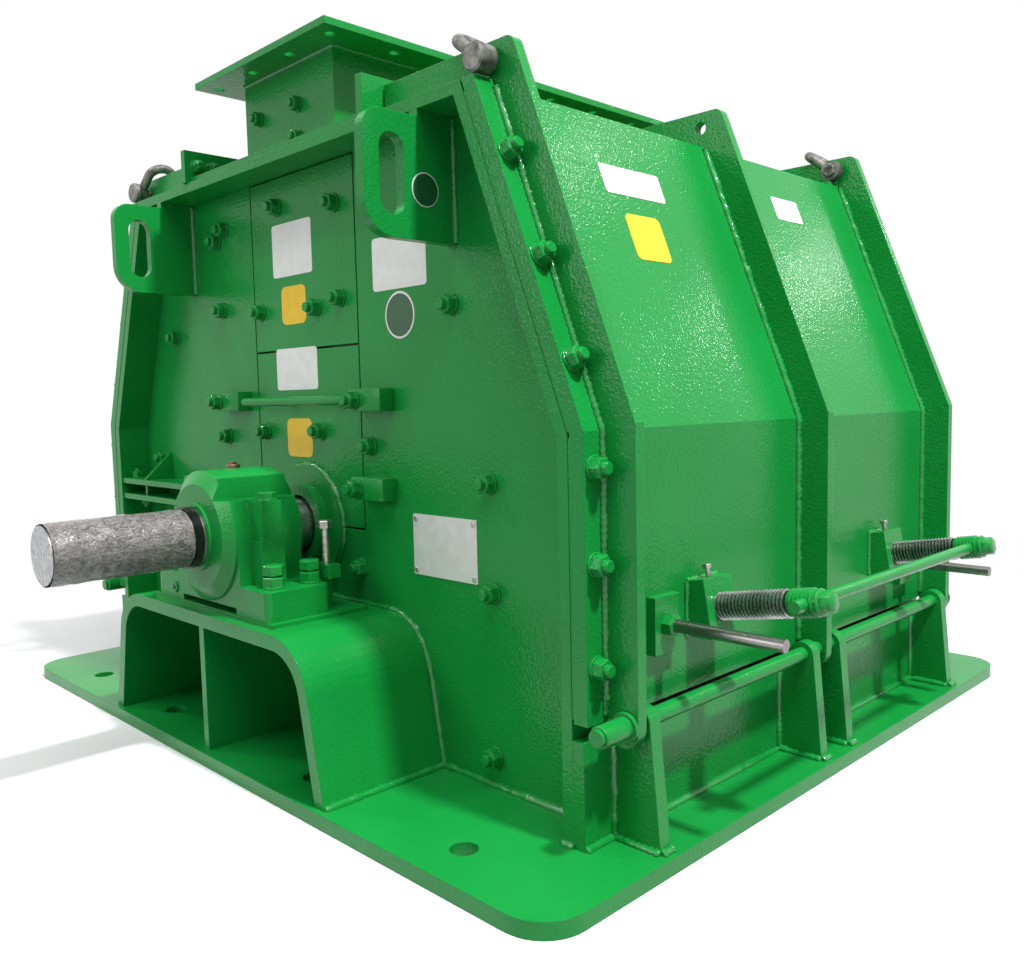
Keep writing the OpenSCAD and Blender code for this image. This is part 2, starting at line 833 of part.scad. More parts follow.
module right_cover() {
  in_z = skin_z - skin_t;
  color(enamel) up() {
    // Bent skin between the end frames, with its level top.
    plate(-skin_y, skin_y) polygon(concat(
      side_path(edge_o, cover_z, skin_z),
      [[in_x, skin_z], [in_x, in_z]],
      turn(side_path(skin_o, cover_z, in_z))
    ));
    // Edge flanges over the end frames.
    for (s = [0, 1]) mirror([0, s, 0]) plate(skin_y, ring_y) polygon(concat(
      side_path(edge_o, cover_z, top_z),
      turn(side_path(seat_gap, cover_z, top_z))
    ));
    // Upright flange along the top.
    translate([in_x, -skin_y, skin_z]) cube([side_t, 2 * skin_y, rib_low - skin_z]);
    translate([in_x, -rib_y - rib_t / 2, rib_low])
      cube([side_t, 2 * rib_y + rib_t, rib_z - rib_low]);
  }
}

module left_cover() {
  left() right_cover();
}

// Rib outline; low is the height of its lower edge across the top.
function rib_path(low) = let (knuckle_r = (rib_o - edge_o) / 2) concat(
  arc(rib_x - knuckle_r, hinge_z - knuckle_drop, knuckle_r, 180, 360, 20),
  [[face_x(rib_o), face_knee(rib_o)]],
  arc(slope_x(rib_o, rib_z) - rib_r * tan((90 - lean) / 2), rib_z - rib_r,
      rib_r, lean, 90, 8),
  [[in_x + side_t, rib_z], [in_x + side_t, low]],
  [[slope_x(edge_o, low), low]],
  [[face_x(edge_o), face_knee(edge_o)]]
);

module rib(y, low) {
  color(enamel) up() plate(y - rib_t / 2, y + rib_t / 2) difference() {
    polygon(rib_path(low));
    translate([hinge_x, hinge_z]) circle(d = hinge_d + 2 * run_gap);
    translate([eye_x, eye_z]) circle(d = pin_d + 2 * pin_gap);
  }
}

module right_cover_ribs() {
  rib(0, skin_z);
  rib(-rib_y, rib_low);
  rib(rib_y, rib_low);
}

module left_cover_ribs() {
  left() right_cover_ribs();
}

module right_breaker_plates() {
  y0 = skin_y - breaker_in;
  x1 = face_x(skin_o);
  color(steel) up() plate(-y0, y0) polygon([
    [x1, breaker_back[1]], [x1, breaker_back[0]],
    [breaker_x + breaker_t, breaker_zs[2]], [breaker_x, breaker_zs[1]],
    [breaker_x, breaker_zs[0]], [x1 - breaker_t, breaker_zs[0]]
  ]);
}

module left_breaker_plates() {
  left() right_breaker_plates();
}

// ------------------------------------------------------------- adjusters
// Place in a list of the front end's value and the rear end's.
function end_no(s) = s < 0 ? 0 : 1;

// Bracket outline moved inward by t, reaching down below the screw axis.
function brk_path(t, down) =
  let (x0 = face_x(edge_o), c = cos(screw_a), n = sin(screw_a),
       up = brk_up - t, xo = screw_x - t * c, zo = screw_z - t * n,
       x1 = xo - up * n, z1 = zo + up * c, x2 = xo + down * n, z2 = zo - down * c)
  [[x0, z1 - (x1 - x0) * tan(screw_a)], [x1, z1], [x2, z2], [x0, z2]];

// Puts a piece on the screw axis, its own Z along the screw.
module screw_axis(y) {
  translate([screw_x, y, screw_z]) rotate([0, 90 - screw_a, 0]) children();
}

module right_screw_brackets() {
  color(enamel) up() for (s = [-1, 1]) {
    difference() {
      plate(s * screw_y - brk_w / 2, s * screw_y + brk_w / 2) polygon(brk_path(0, brk_down));
      plate(s * screw_y - brk_w / 2 + brk_t, s * screw_y + brk_w / 2 - brk_t)
        polygon(brk_path(brk_t, brk_down + brk_t));
      screw_axis(s * screw_y) translate([0, 0, -2 * brk_t])
        cylinder(d = screw_d + 2 * run_gap, h = 3 * brk_t);
    }
    translate([face_x(edge_o), s * guide_y - pad_w / 2, guide_z[end_no(s)] - pad_h / 2])
      cube([pad_t, pad_w, pad_h]);
  }
}

module left_screw_brackets() {
  left() right_screw_brackets();
}

module right_adjusting_screws() {
  color(steel) up() for (s = [-1, 1]) screw_axis(s * screw_y) difference() {
    union() {
      translate([0, 0, -brk_t]) cylinder(d = screw_d, h = screw_l + brk_t);
      translate([0, 0, screw_l]) cylinder(d = hex_s / cos(30), h = hex_l, $fn = 6);
    }
    translate([0, 0, handle_s]) rotate([90, 0, 0])
      cylinder(d = handle_d + 2 * run_gap, h = 2 * screw_d, center = true);
  }
}

module left_adjusting_screws() {
  left() right_adjusting_screws();
}

module right_cross_handle() {
  color(enamel) up() screw_axis(0) translate([0, 0, handle_s]) rotate([90, 0, 0])
    cylinder(d = handle_d, h = 2 * handle_y, center = true);
}

module left_cross_handle() {
  left() right_cross_handle();
}

module right_guide_rods() {
  x0 = face_x(edge_o) + pad_t;
  color(steel) up() for (s = [-1, 1])
    translate([x0, s * guide_y, guide_z[end_no(s)]]) rotate([0, 90, 0])
      cylinder(d = guide_d, h = guide_tip[end_no(s)] - x0);
}

module left_guide_rods() {
  left() right_guide_rods();
}

// -------------------------------------------------------------- shackles
// Shackle on the rib at y, its bow leaning inward over the rib top.
module shackle(y) {
  r = bow_w / 2 + boss_w / 2;
  straight = bow_l + bow_d / 2 - r;
  color(zinc) up() translate([eye_x, y, eye_z]) rotate([0, bow_a - 180, 0]) {
    bar_y(0, 0, pin_d, -r - boss_w / 2 - pin_end, r + boss_w / 2 + pin_end);
    for (s = [-1, 1]) {
      bar_y(0, 0, boss_d, s * r - boss_w / 2, s * r + boss_w / 2);
      translate([0, s * r, 0]) rotate([0, 90, 0]) cylinder(d = bow_d, h = straight);
    }
    translate([straight, 0, 0]) rotate([0, 0, -90])
      rotate_extrude(angle = 180) translate([r, 0]) circle(d = bow_d);
  }
}

module right_front_shackle() {
  shackle(-rib_y);
}

module right_rear_shackle() {
  shackle(rib_y);
}

module left_front_shackle() {
  left() shackle(-rib_y);
}

module left_rear_shackle() {
  left() shackle(rib_y);
}

base_plate();
front_pedestal();
rear_pedestal();
front_frame();
rear_frame();
front_wall();
rear_wall();
front_lower_panel();
rear_lower_panel();
front_upper_panel();
rear_upper_panel();
front_seal_plate();
rear_seal_plate();
front_lifting_lugs();
rear_lifting_lugs();
top_plate();
inlet_box();
inlet_flange();
lower_walls();
hinge_brackets();
hinge_rods();
bearing_bases();
bearing_caps();
rotor_shaft();
rotor_discs();
hammer_bars();
seal_ring();
left_cover();
right_cover();
left_cover_ribs();
right_cover_ribs();
left_breaker_plates();
right_breaker_plates();
left_screw_brackets();
right_screw_brackets();
left_adjusting_screws();
left_cross_handle();
right_adjusting_screws();
right_cross_handle();
left_guide_rods();
right_guide_rods();
left_front_shackle();
left_rear_shackle();
right_front_shackle();
right_rear_shackle();
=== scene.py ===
"""Dresses the reversible impact crusher: enamel, fasteners, welds, threads, labels, light and camera."""

import logging
import math
from dataclasses import dataclass, field
from enum import Enum
from typing import ClassVar

import bmesh
import bpy
from mathutils import Matrix, Vector, noise


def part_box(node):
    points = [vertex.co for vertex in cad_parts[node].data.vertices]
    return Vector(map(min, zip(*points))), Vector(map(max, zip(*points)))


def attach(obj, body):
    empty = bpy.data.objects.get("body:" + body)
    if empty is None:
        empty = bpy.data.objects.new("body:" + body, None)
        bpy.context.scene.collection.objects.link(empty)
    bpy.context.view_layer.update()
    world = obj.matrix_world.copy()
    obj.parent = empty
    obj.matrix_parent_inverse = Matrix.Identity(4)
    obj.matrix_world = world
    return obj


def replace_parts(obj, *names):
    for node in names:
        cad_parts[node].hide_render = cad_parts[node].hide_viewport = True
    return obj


LOG = logging.getLogger("crusher")
MM = 0.001

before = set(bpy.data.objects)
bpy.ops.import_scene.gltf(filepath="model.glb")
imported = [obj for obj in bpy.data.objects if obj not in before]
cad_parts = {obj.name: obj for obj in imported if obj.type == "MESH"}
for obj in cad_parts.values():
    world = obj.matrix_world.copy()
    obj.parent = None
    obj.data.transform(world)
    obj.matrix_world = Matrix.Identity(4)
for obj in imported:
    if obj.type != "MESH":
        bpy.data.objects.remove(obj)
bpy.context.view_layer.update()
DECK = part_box("base_plate")[1].z


# ------------------------------------------------------------------ places
def at(x: float, y: float, z: float) -> Vector:
    """Gives a point in metres.

    Args:
        x: across the machine, mm.
        y: along the shaft, mm.
        z: above the top face of the base plate, mm.

    Returns:
        The point in the machine's frame.
    """
    return Vector((x * MM, y * MM, DECK + z * MM))


def flip(v: Vector, across: int, along: int) -> Vector:
    """Mirrors a point or a direction.

    Args:
        v: the point or direction.
        across: 1 keeps x, -1 turns it to the other side.
        along: 1 keeps y, -1 turns it to the other end.

    Returns:
        The mirrored vector.
    """
    return Vector((v.x * across, v.y * along, v.z))


class Side(Enum):
    """The two sides of the machine, seen from the drive end."""

    LEFT = -1
    RIGHT = 1

    @property
    def word(self) -> str:
        """The side's name as the nodes use it."""
        return self.name.lower()

    @property
    def cover(self) -> str:
        """The body of this side's cover."""
        return f"{self.word}_cover_body"


class End(Enum):
    """The two ends of the machine; the shaft is driven from the front."""

    FRONT = 1
    REAR = -1

    @property
    def word(self) -> str:
        """The end's name as the nodes use it."""
        return self.name.lower()


BOTH_SIDES = (Side.LEFT, Side.RIGHT)
BOTH_ENDS = (End.FRONT, End.REAR)


# --------------------------------------------------------------- materials
def linear(hex_colour: str) -> tuple[float, float, float, float]:
    """Turns an sRGB hex colour into linear red, green, blue and alpha.

    Args:
        hex_colour: six hex digits after a hash sign.

    Returns:
        Four linear values.
    """
    parts = [int(hex_colour[i:i + 2], 16) / 255 for i in (1, 3, 5)]
    flat = [p / 12.92 if p <= 0.04045 else ((p + 0.055) / 1.055) ** 2.4 for p in parts]
    return (flat[0], flat[1], flat[2], 1.0)


def node(tree: bpy.types.NodeTree, kind: str, settings: dict[str, object] | None = None,
         links: dict[str, bpy.types.NodeSocket] | None = None) -> bpy.types.Node:
    """Adds one node with its settings and links.

    Args:
        tree: the node tree.
        kind: the node's type name.
        settings: attributes and input values by name.
        links: output sockets by the input that they feed.

    Returns:
        The new node.
    """
    made = tree.nodes.new(kind)
    for key, value in (settings or {}).items():
        if key in made.inputs:
            made.inputs[key].default_value = value
        else:
            setattr(made, key, value)
    for key, socket in (links or {}).items():
        tree.links.new(socket, made.inputs[int(key) if key.isdigit() else key])
    return made


def new_material(name: str) -> tuple[bpy.types.Material, bpy.types.NodeTree]:
    """Makes an empty node material.

    Args:
        name: the material's name.

    Returns:
        The material and its node tree.
    """
    material = bpy.data.materials.new(name)
    material.use_nodes = True
    material.node_tree.nodes.clear()
    return material, material.node_tree


def output(tree: bpy.types.NodeTree, shader: bpy.types.Node) -> None:
    """Links a shader to the material output."""
    node(tree, "ShaderNodeOutputMaterial", links={"Surface": shader.outputs[0]})


def ramp(tree: bpy.types.NodeTree, factor: bpy.types.NodeSocket, low: float, high: float,
         colours: tuple[str, str]) -> bpy.types.NodeSocket:
    """Blends two colours over part of a pattern's range.

    Args:
        tree: the node tree.
        factor: the pattern.
        low: pattern value of the first colour.
        high: pattern value of the second colour.
        colours: two hex colours.

    Returns:
        The blended colour.
    """
    made = node(tree, "ShaderNodeValToRGB", links={"Fac": factor})
    made.color_ramp.elements[0].position = low
    made.color_ramp.elements[1].position = high
    made.color_ramp.elements[0].color = linear(colours[0])
    made.color_ramp.elements[1].color = linear(colours[1])
    return made.outputs["Color"]


def speckle(tree: bpy.types.NodeTree, size_mm: float, detail: float = 2.0) -> bpy.types.NodeSocket:
    """Noise on Object coordinates whose grains have a real size.

    Args:
        tree: the node tree.
        size_mm: distance between grains, mm.
        detail: number of finer layers.

    Returns:
        The noise value.
    """
    place = node(tree, "ShaderNodeTexCoord").outputs["Object"]
    made = node(tree, "ShaderNodeTexNoise", {"Scale": 1 / (size_mm * MM), "Detail": detail},
                {"Vector": place})
    return made.outputs["Fac"]


@dataclass(frozen=True)
class Enamel:
    """Thick two-pack machine enamel, sprayed over welded plate: wet gloss with orange peel."""

    name: str = "green_enamel"
    deep: str = "#128A38"
    light: str = "#17903E"
    roughness: float = 0.30
    wet: float = 0.35
    peel_mm: float = 6.5
    peel_depth_mm: float = 1.0
    buckle_mm: float = 190.0
    buckle_depth_mm: float = 2.0
    sag_mm: float = 260.0
    edge_mm: float = 2.5
    gloss_drift: tuple[float, float] = (-0.05, 0.08)

    def make(self) -> bpy.types.Material:
        """Builds the material: cloudy film thickness, buckled plate, and peel that breaks up reflections.

        Returns:
            The material.
        """
        material, tree = new_material(self.name)
        film = ramp(tree, speckle(tree, self.sag_mm), 0.35, 0.65, (self.deep, self.light))
        smooth, dull = (self.roughness + drift for drift in self.gloss_drift)
        gloss = node(tree, "ShaderNodeMapRange", {"To Min": smooth, "To Max": dull},
                     {"Value": speckle(tree, self.sag_mm / 3)})
        edge = node(tree, "ShaderNodeBevel", {"samples": 4, "Radius": self.edge_mm * MM})
        buckle = node(tree, "ShaderNodeBump", {"Distance": self.buckle_depth_mm * MM, "Strength": 1.0},
                      {"Height": speckle(tree, self.buckle_mm, 0.0), "Normal": edge.outputs[0]})
        peel = node(tree, "ShaderNodeBump", {"Distance": self.peel_depth_mm * MM, "Strength": 1.0},
                    {"Height": speckle(tree, self.peel_mm, 1.0), "Normal": buckle.outputs[0]})
        shader = node(tree, "ShaderNodeBsdfPrincipled",
                      {"Specular IOR Level": 0.08, "Coat Weight": self.wet, "Coat Roughness": 0.04},
                      {"Base Color": film, "Roughness": gloss.outputs[0], "Normal": peel.outputs[0],
                       "Coat Normal": peel.outputs[0]})
        output(tree, shader)
        return material


@dataclass(frozen=True)
class Metal:
    """Bare steel; tool marks run round or along the piece."""

    name: str
    dark: str
    bright: str
    roughness: float
    mark_mm: float
    depth_mm: float = 0.03
    metallic: float = 1.0
    gloss_drift: tuple[float, float] = (-0.1, 0.12)

    def make(self) -> bpy.types.Material:
        """Builds the material: two tones of metal with fine marks in the gloss and bump.

        Returns:
            The material.
        """
        material, tree = new_material(self.name)
        tone = ramp(tree, speckle(tree, self.mark_mm * 6, 3.0), 0.3, 0.7, (self.dark, self.bright))
        grain = speckle(tree, self.mark_mm, 3.0)
        smooth, dull = (self.roughness + drift for drift in self.gloss_drift)
        gloss = node(tree, "ShaderNodeMapRange", {"To Min": smooth, "To Max": dull}, {"Value": grain})
        marks = node(tree, "ShaderNodeBump", {"Distance": self.depth_mm * MM, "Strength": 0.6},
                     {"Height": grain})
        shader = node(tree, "ShaderNodeBsdfPrincipled", {"Metallic": self.metallic},
                      {"Base Color": tone, "Roughness": gloss.outputs[0], "Normal": marks.outputs[0]})
        output(tree, shader)
        return material


@dataclass(frozen=True)
class Plain:
    """A smooth painted, printed or moulded surface with a faint unevenness."""

    name: str
    colour: str
    shade: str
    roughness: float
    grain_mm: float = 30.0
    wave: float = 0.3

    def make(self) -> bpy.types.Material:
        """Builds the material: one colour with slow drift and a soft sheen.

        Returns:
            The material.
        """
        material, tree = new_material(self.name)
        tone = ramp(tree, speckle(tree, self.grain_mm), 0.3, 0.7, (self.shade, self.colour))
        skin = node(tree, "ShaderNodeBump", {"Distance": 0.05 * MM, "Strength": self.wave},
                    {"Height": speckle(tree, self.grain_mm / 20)})
        shader = node(tree, "ShaderNodeBsdfPrincipled", {"Roughness": self.roughness},
                      {"Base Color": tone, "Normal": skin.outputs[0]})
        output(tree, shader)
        return material


@dataclass(frozen=True)
class Film:
    """Polythene film wound over a greased shaft: pale folds, dark where it lies on the steel."""

    name: str = "wrapping_film"
    fold: str = "#96908F"
    grease: str = "#55504F"
    crease_mm: float = 10.0

    def make(self) -> bpy.types.Material:
        """Builds the material: stretched patches of pale and dark with a sharp gloss.

        Returns:
            The material.
        """
        material, tree = new_material(self.name)
        place = node(tree, "ShaderNodeTexCoord").outputs["Object"]
        turned = node(tree, "ShaderNodeMapping", {"Rotation": (0.7, 0.0, 0.4), "Scale": (1.0, 0.6, 1.3)},
                      {"Vector": place})
        cells = node(tree, "ShaderNodeTexNoise",
                     {"Scale": 1 / (self.crease_mm * MM), "Detail": 6.0, "Distortion": 2.4},
                     {"Vector": turned.outputs[0]})
        tone = ramp(tree, cells.outputs["Fac"], 0.38, 0.66, (self.grease, self.fold))
        crease = node(tree, "ShaderNodeBump", {"Distance": 1.2 * MM, "Strength": 1.0},
                      {"Height": cells.outputs["Fac"]})
        shader = node(tree, "ShaderNodeBsdfPrincipled", {"Roughness": 0.25, "Coat Weight": 0.3},
                      {"Base Color": tone, "Normal": crease.outputs[0]})
        output(tree, shader)
        return material


class Paint(Enum):
    """Every finish on the machine."""

    # Sprayed over shot-blasted plate: wavy reflections, and an orange peel drawn coarse enough to show.
    ENAMEL = Enamel()
    # The same coat over weld ripples, pulled tighter and wetter: small bright lines along each bead.
    BEAD = Enamel("green_enamel_on_beads", roughness=0.22, wet=1.0, peel_mm=3.0, peel_depth_mm=0.7,
                  edge_mm=0.5)
    # A thin coat over threads and hexagons, which keeps their edges crisp.
    THREADED = Enamel("green_enamel_on_threads", roughness=0.3, wet=0.5, peel_depth_mm=0.2, edge_mm=0.3)
    # Shaft steel turned on a lathe: pale, with fine cloudy tool marks.
    TURNED = Metal("turned_steel", "#8E9092", "#C4C5C6", 0.30, 1.2)
    # Bar drawn through a die: an even grey with a long soft glint.
    ROD = Metal("drawn_bright_bar", "#857F7F", "#969191", 0.30, 14.0, 0.01)
    # Nearly black steel for the screw cores and the drain socket: painted shade in the thread roots between
    # the crests, and in the socket's hollow.
    THREAD = Metal("oiled_thread_roots", "#1F2021", "#333436", 0.40, 3.0)
    # Lighter steel on the crests: a painted highlight, light lines round the screw.
    CREST_HIGHLIGHT = Metal("rolled_thread_crests", "#88868A", "#B9B7B8", 0.26, 9.0)
    # Sand-cast manganese steel as it leaves the mould: dark, coarse and dull.
    WEAR = Metal("cast_wear_steel", "#2A2A2A", "#474543", 0.55, 6.0, 0.4, 0.8)
    # Drop-forged and hot-dip galvanised: mottled grey with a rough skin.
    ZINC = Metal("galvanised_forging", "#4A4A46", "#85857F", 0.50, 3.0, 0.3, 0.7)
    # Cold-formed and zinc plated: a warm light grey with a soft shine.
    BOLT = Metal("zinc_plated_bolt", "#86857D", "#B9B8B0", 0.36, 2.0)
    # Steel with a thin copper wash: a dull reddish brown.
    COPPER = Metal("coppered_fitting", "#6E5348", "#8E7466", 0.40, 4.0)
    # Moulded seal with grease wiped over it: black with a wet shine.
    RUBBER = Plain("greased_black_rubber", "#141415", "#0D0D0E", 0.20, 60.0, 0.25)
    # Calendered vinyl, printed all over in one colour and left bare: smooth with an even sheen.
    DARK = Plain("dark_green_vinyl", "#1D5530", "#1B512D", 0.38)
    WHITE = Plain("white_vinyl", "#F1F2F0", "#E9EAE7", 0.38)
    YELLOW = Plain("yellow_vinyl", "#F6C91C", "#EFC112", 0.38)
    # Brushed and lacquered sheet: pale, with a soft broken glint.
    BLANK = Metal("brushed_aluminium_plate", "#CFCFCE", "#DADAD9", 0.45, 4.0, 0.02, 0.35)
    # Blown film, wound and stretched: sharp glints on folds, dark patches where it sticks to grease.
    FILM = Film()


class Shop:
    """Makes each finish once and hands it out."""

    def __init__(self) -> None:
        """Starts with an empty shelf."""
        self.shelf: dict[Paint, bpy.types.Material] = {}

    def get(self, paint: Paint) -> bpy.types.Material:
        """Gives the material of a finish."""
        if paint not in self.shelf:
            self.shelf[paint] = paint.value.make()
        return self.shelf[paint]


SHOP = Shop()


# ------------------------------------------------------------------ shapes
def facing(point: Vector, axis: Vector, turn: float = 0.0) -> Matrix:
    """Places a shape drawn along +Z.

    Args:
        point: where its origin goes.
        axis: where its +Z points.
        turn: turn about its own axis, radians.

    Returns:
        The placing matrix.
    """
    spin = axis.to_track_quat("Z", "Y").to_matrix().to_4x4()
    return Matrix.Translation(point) @ spin @ Matrix.Rotation(turn, 4, "Z")


class Form:
    """A piece under construction, drawn in metres where it stands."""

    def __init__(self, name: str) -> None:
        """Starts an empty piece."""
        self.name = name
        self.bm = bmesh.new()

    def round(self, place: Matrix, radius: float, length: float, sides: int = 24,
              chamfer: float = 0.0) -> None:
        """Adds a round or many-sided bar that stands on its place.

        Args:
            place: where it starts, its +Z along the bar.
            radius: corner radius, mm.
            length: length, mm.
            sides: number of sides.
            chamfer: bevel of the far rim, mm.
        """
        made = bmesh.ops.create_cone(
            self.bm, cap_ends=True, cap_tris=False, segments=sides, radius1=radius * MM,
            radius2=radius * MM, depth=length * MM,
            matrix=place @ Matrix.Translation((0, 0, length * MM / 2)))
        if chamfer:
            axis = place.to_3x3() @ Vector((0, 0, 1))
            top = max(v.co.dot(axis) for v in made["verts"])
            rim = {e for v in made["verts"] for e in v.link_edges
                   if all(abs(w.co.dot(axis) - top) < 1e-6 for w in e.verts)}
            bmesh.ops.bevel(self.bm, geom=list(rim), offset=chamfer * MM, offset_type="OFFSET",
                            affect="EDGES", segments=1, profile=0.5, material=-1)

    def block(self, low: Vector, high: Vector, edge: float = 0.0) -> None:
        """Adds a box between two corners.

        Args:
            low: lowest corner, metres.
            high: highest corner, metres.
            edge: bevel of all its edges, mm.
        """
        size = high - low
        made = bmesh.ops.create_cube(self.bm, size=1.0, matrix=Matrix.Translation(
            (low + high) / 2) @ Matrix.Diagonal((abs(size.x), abs(size.y), abs(size.z), 1.0)))
        if edge:
            rim = {e for v in made["verts"] for e in v.link_edges}
            bmesh.ops.bevel(self.bm, geom=list(rim), offset=edge * MM, offset_type="OFFSET",
                            affect="EDGES", segments=2, profile=0.5, material=-1)

    def card(self, place: Matrix, wide: float, high: float, thick: float, corner: float) -> None:
        """Adds a thin plate with rounded corners, lying on its place.

        Args:
            place: its middle, +Z off the surface, +X along its width.
            wide: width, mm.
            high: height, mm.
            thick: thickness, mm.
            corner: corner radius, mm.
        """
        made = bmesh.ops.create_cube(self.bm, size=1.0, matrix=place @ Matrix.Translation(
            (0, 0, thick * MM / 2)) @ Matrix.Diagonal((wide * MM, high * MM, thick * MM, 1.0)))
        axis = place.to_3x3() @ Vector((0, 0, 1))
        posts = {e for v in made["verts"] for e in v.link_edges
                 if abs((e.verts[0].co - e.verts[1].co).normalized().dot(axis)) > 0.9}
        bmesh.ops.bevel(self.bm, geom=list(posts), offset=corner * MM, offset_type="OFFSET",
                        affect="EDGES", segments=4, profile=0.5, material=-1)

    def stamp(self, pattern: bpy.types.Mesh, place: Matrix) -> None:
        """Adds a copy of a ready mesh.

        Args:
            pattern: the mesh.
            place: where it goes.
        """
        count = len(self.bm.verts)
        self.bm.from_mesh(pattern)
        self.bm.verts.ensure_lookup_table()
        bmesh.ops.transform(self.bm, matrix=place, verts=self.bm.verts[count:])

    def mesh(self) -> bpy.types.Mesh:
        """Closes the drawing.

        Returns:
            The finished mesh.
        """
        made = bpy.data.meshes.new(self.name)
        bmesh.ops.recalc_face_normals(self.bm, faces=self.bm.faces)
        self.bm.to_mesh(made)
        self.bm.free()
        return made

    def piece(self, body: str, paint: Paint, smooth: float = 35.0) -> bpy.types.Object:
        """Makes the finished piece.

        Args:
            body: the body that carries it.
            paint: its finish.
            smooth: edges sharper than this stay crisp, degrees.

        Returns:
            The piece.
        """
        return finish_piece(self.name, self.mesh(), body, paint, smooth)


def finish_piece(name: str, mesh: bpy.types.Mesh, body: str, paint: Paint,
                 smooth: float = 35.0) -> bpy.types.Object:
    """Turns a mesh into a piece that rides on a body.

    Args:
        name: the piece's name.
        mesh: its mesh, drawn where it stands.
        body: the body that carries it.
        paint: its finish.
        smooth: edges sharper than this stay crisp, degrees.

    Returns:
        The piece.
    """
    made = bpy.data.objects.new(name, mesh)
    bpy.context.scene.collection.objects.link(made)
    mesh.materials.append(SHOP.get(paint))
    mesh.shade_smooth()
    mesh.set_sharp_from_angle(angle=math.radians(smooth))
    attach(made, body)
    LOG.info("%s: %d faces on %s", name, len(mesh.polygons), body)
    return made


# --------------------------------------------------------------- fasteners
@dataclass(frozen=True)
class Fastener:
    """A hexagon nut or bolt head on a washer; a stud may stand out of the nut."""

    flats: float
    height: float
    washer: float
    washer_t: float = 4.0
    stud: float = 0.0
    stud_out: float = 0.0

    def pattern(self) -> bpy.types.Mesh:
        """Draws one fastener that stands on the origin along +Z.

        Returns:
            Its mesh.
        """
        form = Form("fastener_pattern")
        corner = self.flats / 2 / math.cos(math.radians(30))
        form.round(Matrix(), self.washer, self.washer_t, 20, 0.8)
        form.round(Matrix.Translation((0, 0, self.washer_t * MM)), corner, self.height, 6, 2.2)
        if self.stud:
            form.round(Matrix.Translation((0, 0, (self.washer_t + self.height) * MM)),
                       self.stud, self.stud_out, 14, 1.5)
        return form.mesh()


class Hardware(Enum):
    """The fasteners in use, named by thread."""

    NUT_M24 = Fastener(36, 20, 23, 4, 12, 11)
    HEAD_M24 = Fastener(36, 15, 23)
    NUT_M20 = Fastener(30, 17, 19, 3, 10, 8)


@dataclass
class Bolting:
    """All the fasteners of one kind on one body, joined in one piece."""

    name: str
    body: str
    kind: Hardware
    turn_step: float = 0.61
    seats: list[tuple[Vector, Vector]] = field(default_factory=list)

    def add(self, point: Vector, axis: Vector) -> None:
        """Seats one fastener on a point, standing along an axis."""
        self.seats.append((point, axis.normalized()))

    def build(self) -> bpy.types.Object:
        """Stamps the fasteners, each at its own angle.

        Returns:
            The piece.
        """
        form = Form(self.name)
        pattern = self.kind.value.pattern()
        for number, (point, axis) in enumerate(self.seats):
            form.stamp(pattern, facing(point, axis, number * self.turn_step))
        return form.piece(self.body, Paint.ENAMEL)


# ------------------------------------------------------------------- welds
@dataclass
class Seams:
    """Fillet weld beads on one body, laid in short ripples and painted over."""

    name: str
    body: str
    leg: float = 9.0
    ripple: float = 6.5
    swell: float = 0.15
    wander: float = 0.8
    runs: list[list[Vector]] = field(default_factory=list)

    def run(self, *points: Vector) -> None:
        """Adds one bead along straight stretches between points."""
        self.runs.append([p.copy() for p in points])

    def build(self) -> bpy.types.Object:
        """Sweeps the beads as one mesh.

        Returns:
            The piece.
        """
        curve = bpy.data.curves.new(self.name, "CURVE")
        curve.dimensions = "3D"
        curve.bevel_depth = self.leg * MM
        curve.bevel_resolution = 2
        curve.use_fill_caps = True
        seed = 0
        for points in self.runs:
            path: list[Vector] = []
            for start, stop in zip(points, points[1:]):
                count = max(2, round((stop - start).length / (self.ripple * MM)))
                path += [start.lerp(stop, i / count) for i in range(count)]
            path.append(points[-1])
            spline = curve.splines.new("POLY")
            spline.points.add(len(path) - 1)
            for i, point in enumerate(path):
                seed += 1
                drift = noise.noise(Vector((seed * 0.37, 0.5, 0.5)))
                spline.points[i].co = (*(point + Vector((1, 1, 1)) * drift * self.wander * MM), 1.0)
                spline.points[i].radius = 1.0 + (self.swell if i % 2 else -self.swell) + 0.25 * drift
        sweep = bpy.data.objects.new(self.name + "_sweep", curve)
        bpy.context.scene.collection.objects.link(sweep)
        bpy.context.view_layer.update()
        settled = sweep.evaluated_get(bpy.context.evaluated_depsgraph_get())
        mesh = bpy.data.meshes.new_from_object(settled)
        mesh.materials.clear()
        bpy.data.objects.remove(sweep)
        return finish_piece(self.name, mesh, self.body, Paint.BEAD, 80.0)


# ------------------------------------------------------------ measurements
@dataclass(frozen=True)
class Machine:
    """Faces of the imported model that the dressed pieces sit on, mm above the base plate."""

    wall: float = -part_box("front_lower_panel")[0].y / MM
    rim: float = -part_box("front_frame")[0].y / MM
    rim_x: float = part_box("front_frame")[1].x / MM
    edge_x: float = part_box("right_cover")[1].x / MM
    edge_knee: float = 751.9
    slope_low: tuple[float, float] = (965.0, 745.0)
    slope_high: tuple[float, float] = (709.0, 1407.0)
    lean: float = math.atan((slope_low[0] - slope_high[0]) / (slope_high[1] - slope_low[1]))
    axis_z: float = 507.0
    lug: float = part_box("front_lifting_lugs")[1].x / MM

    def edge(self, z: float) -> tuple[Vector, Vector]:
        """Finds the outer face of the right-hand cover.

        Args:
            z: height, mm.

        Returns:
            A point on the face at y 0 and the face's outward direction.
        """
        if z <= self.edge_knee:
            return at(self.edge_x, 0, z), Vector((1, 0, 0))
        inward = (z - self.edge_knee) * math.tan(self.lean)
        return at(self.edge_x - inward, 0, z), Vector((math.cos(self.lean), 0, math.sin(self.lean)))


M = Machine()


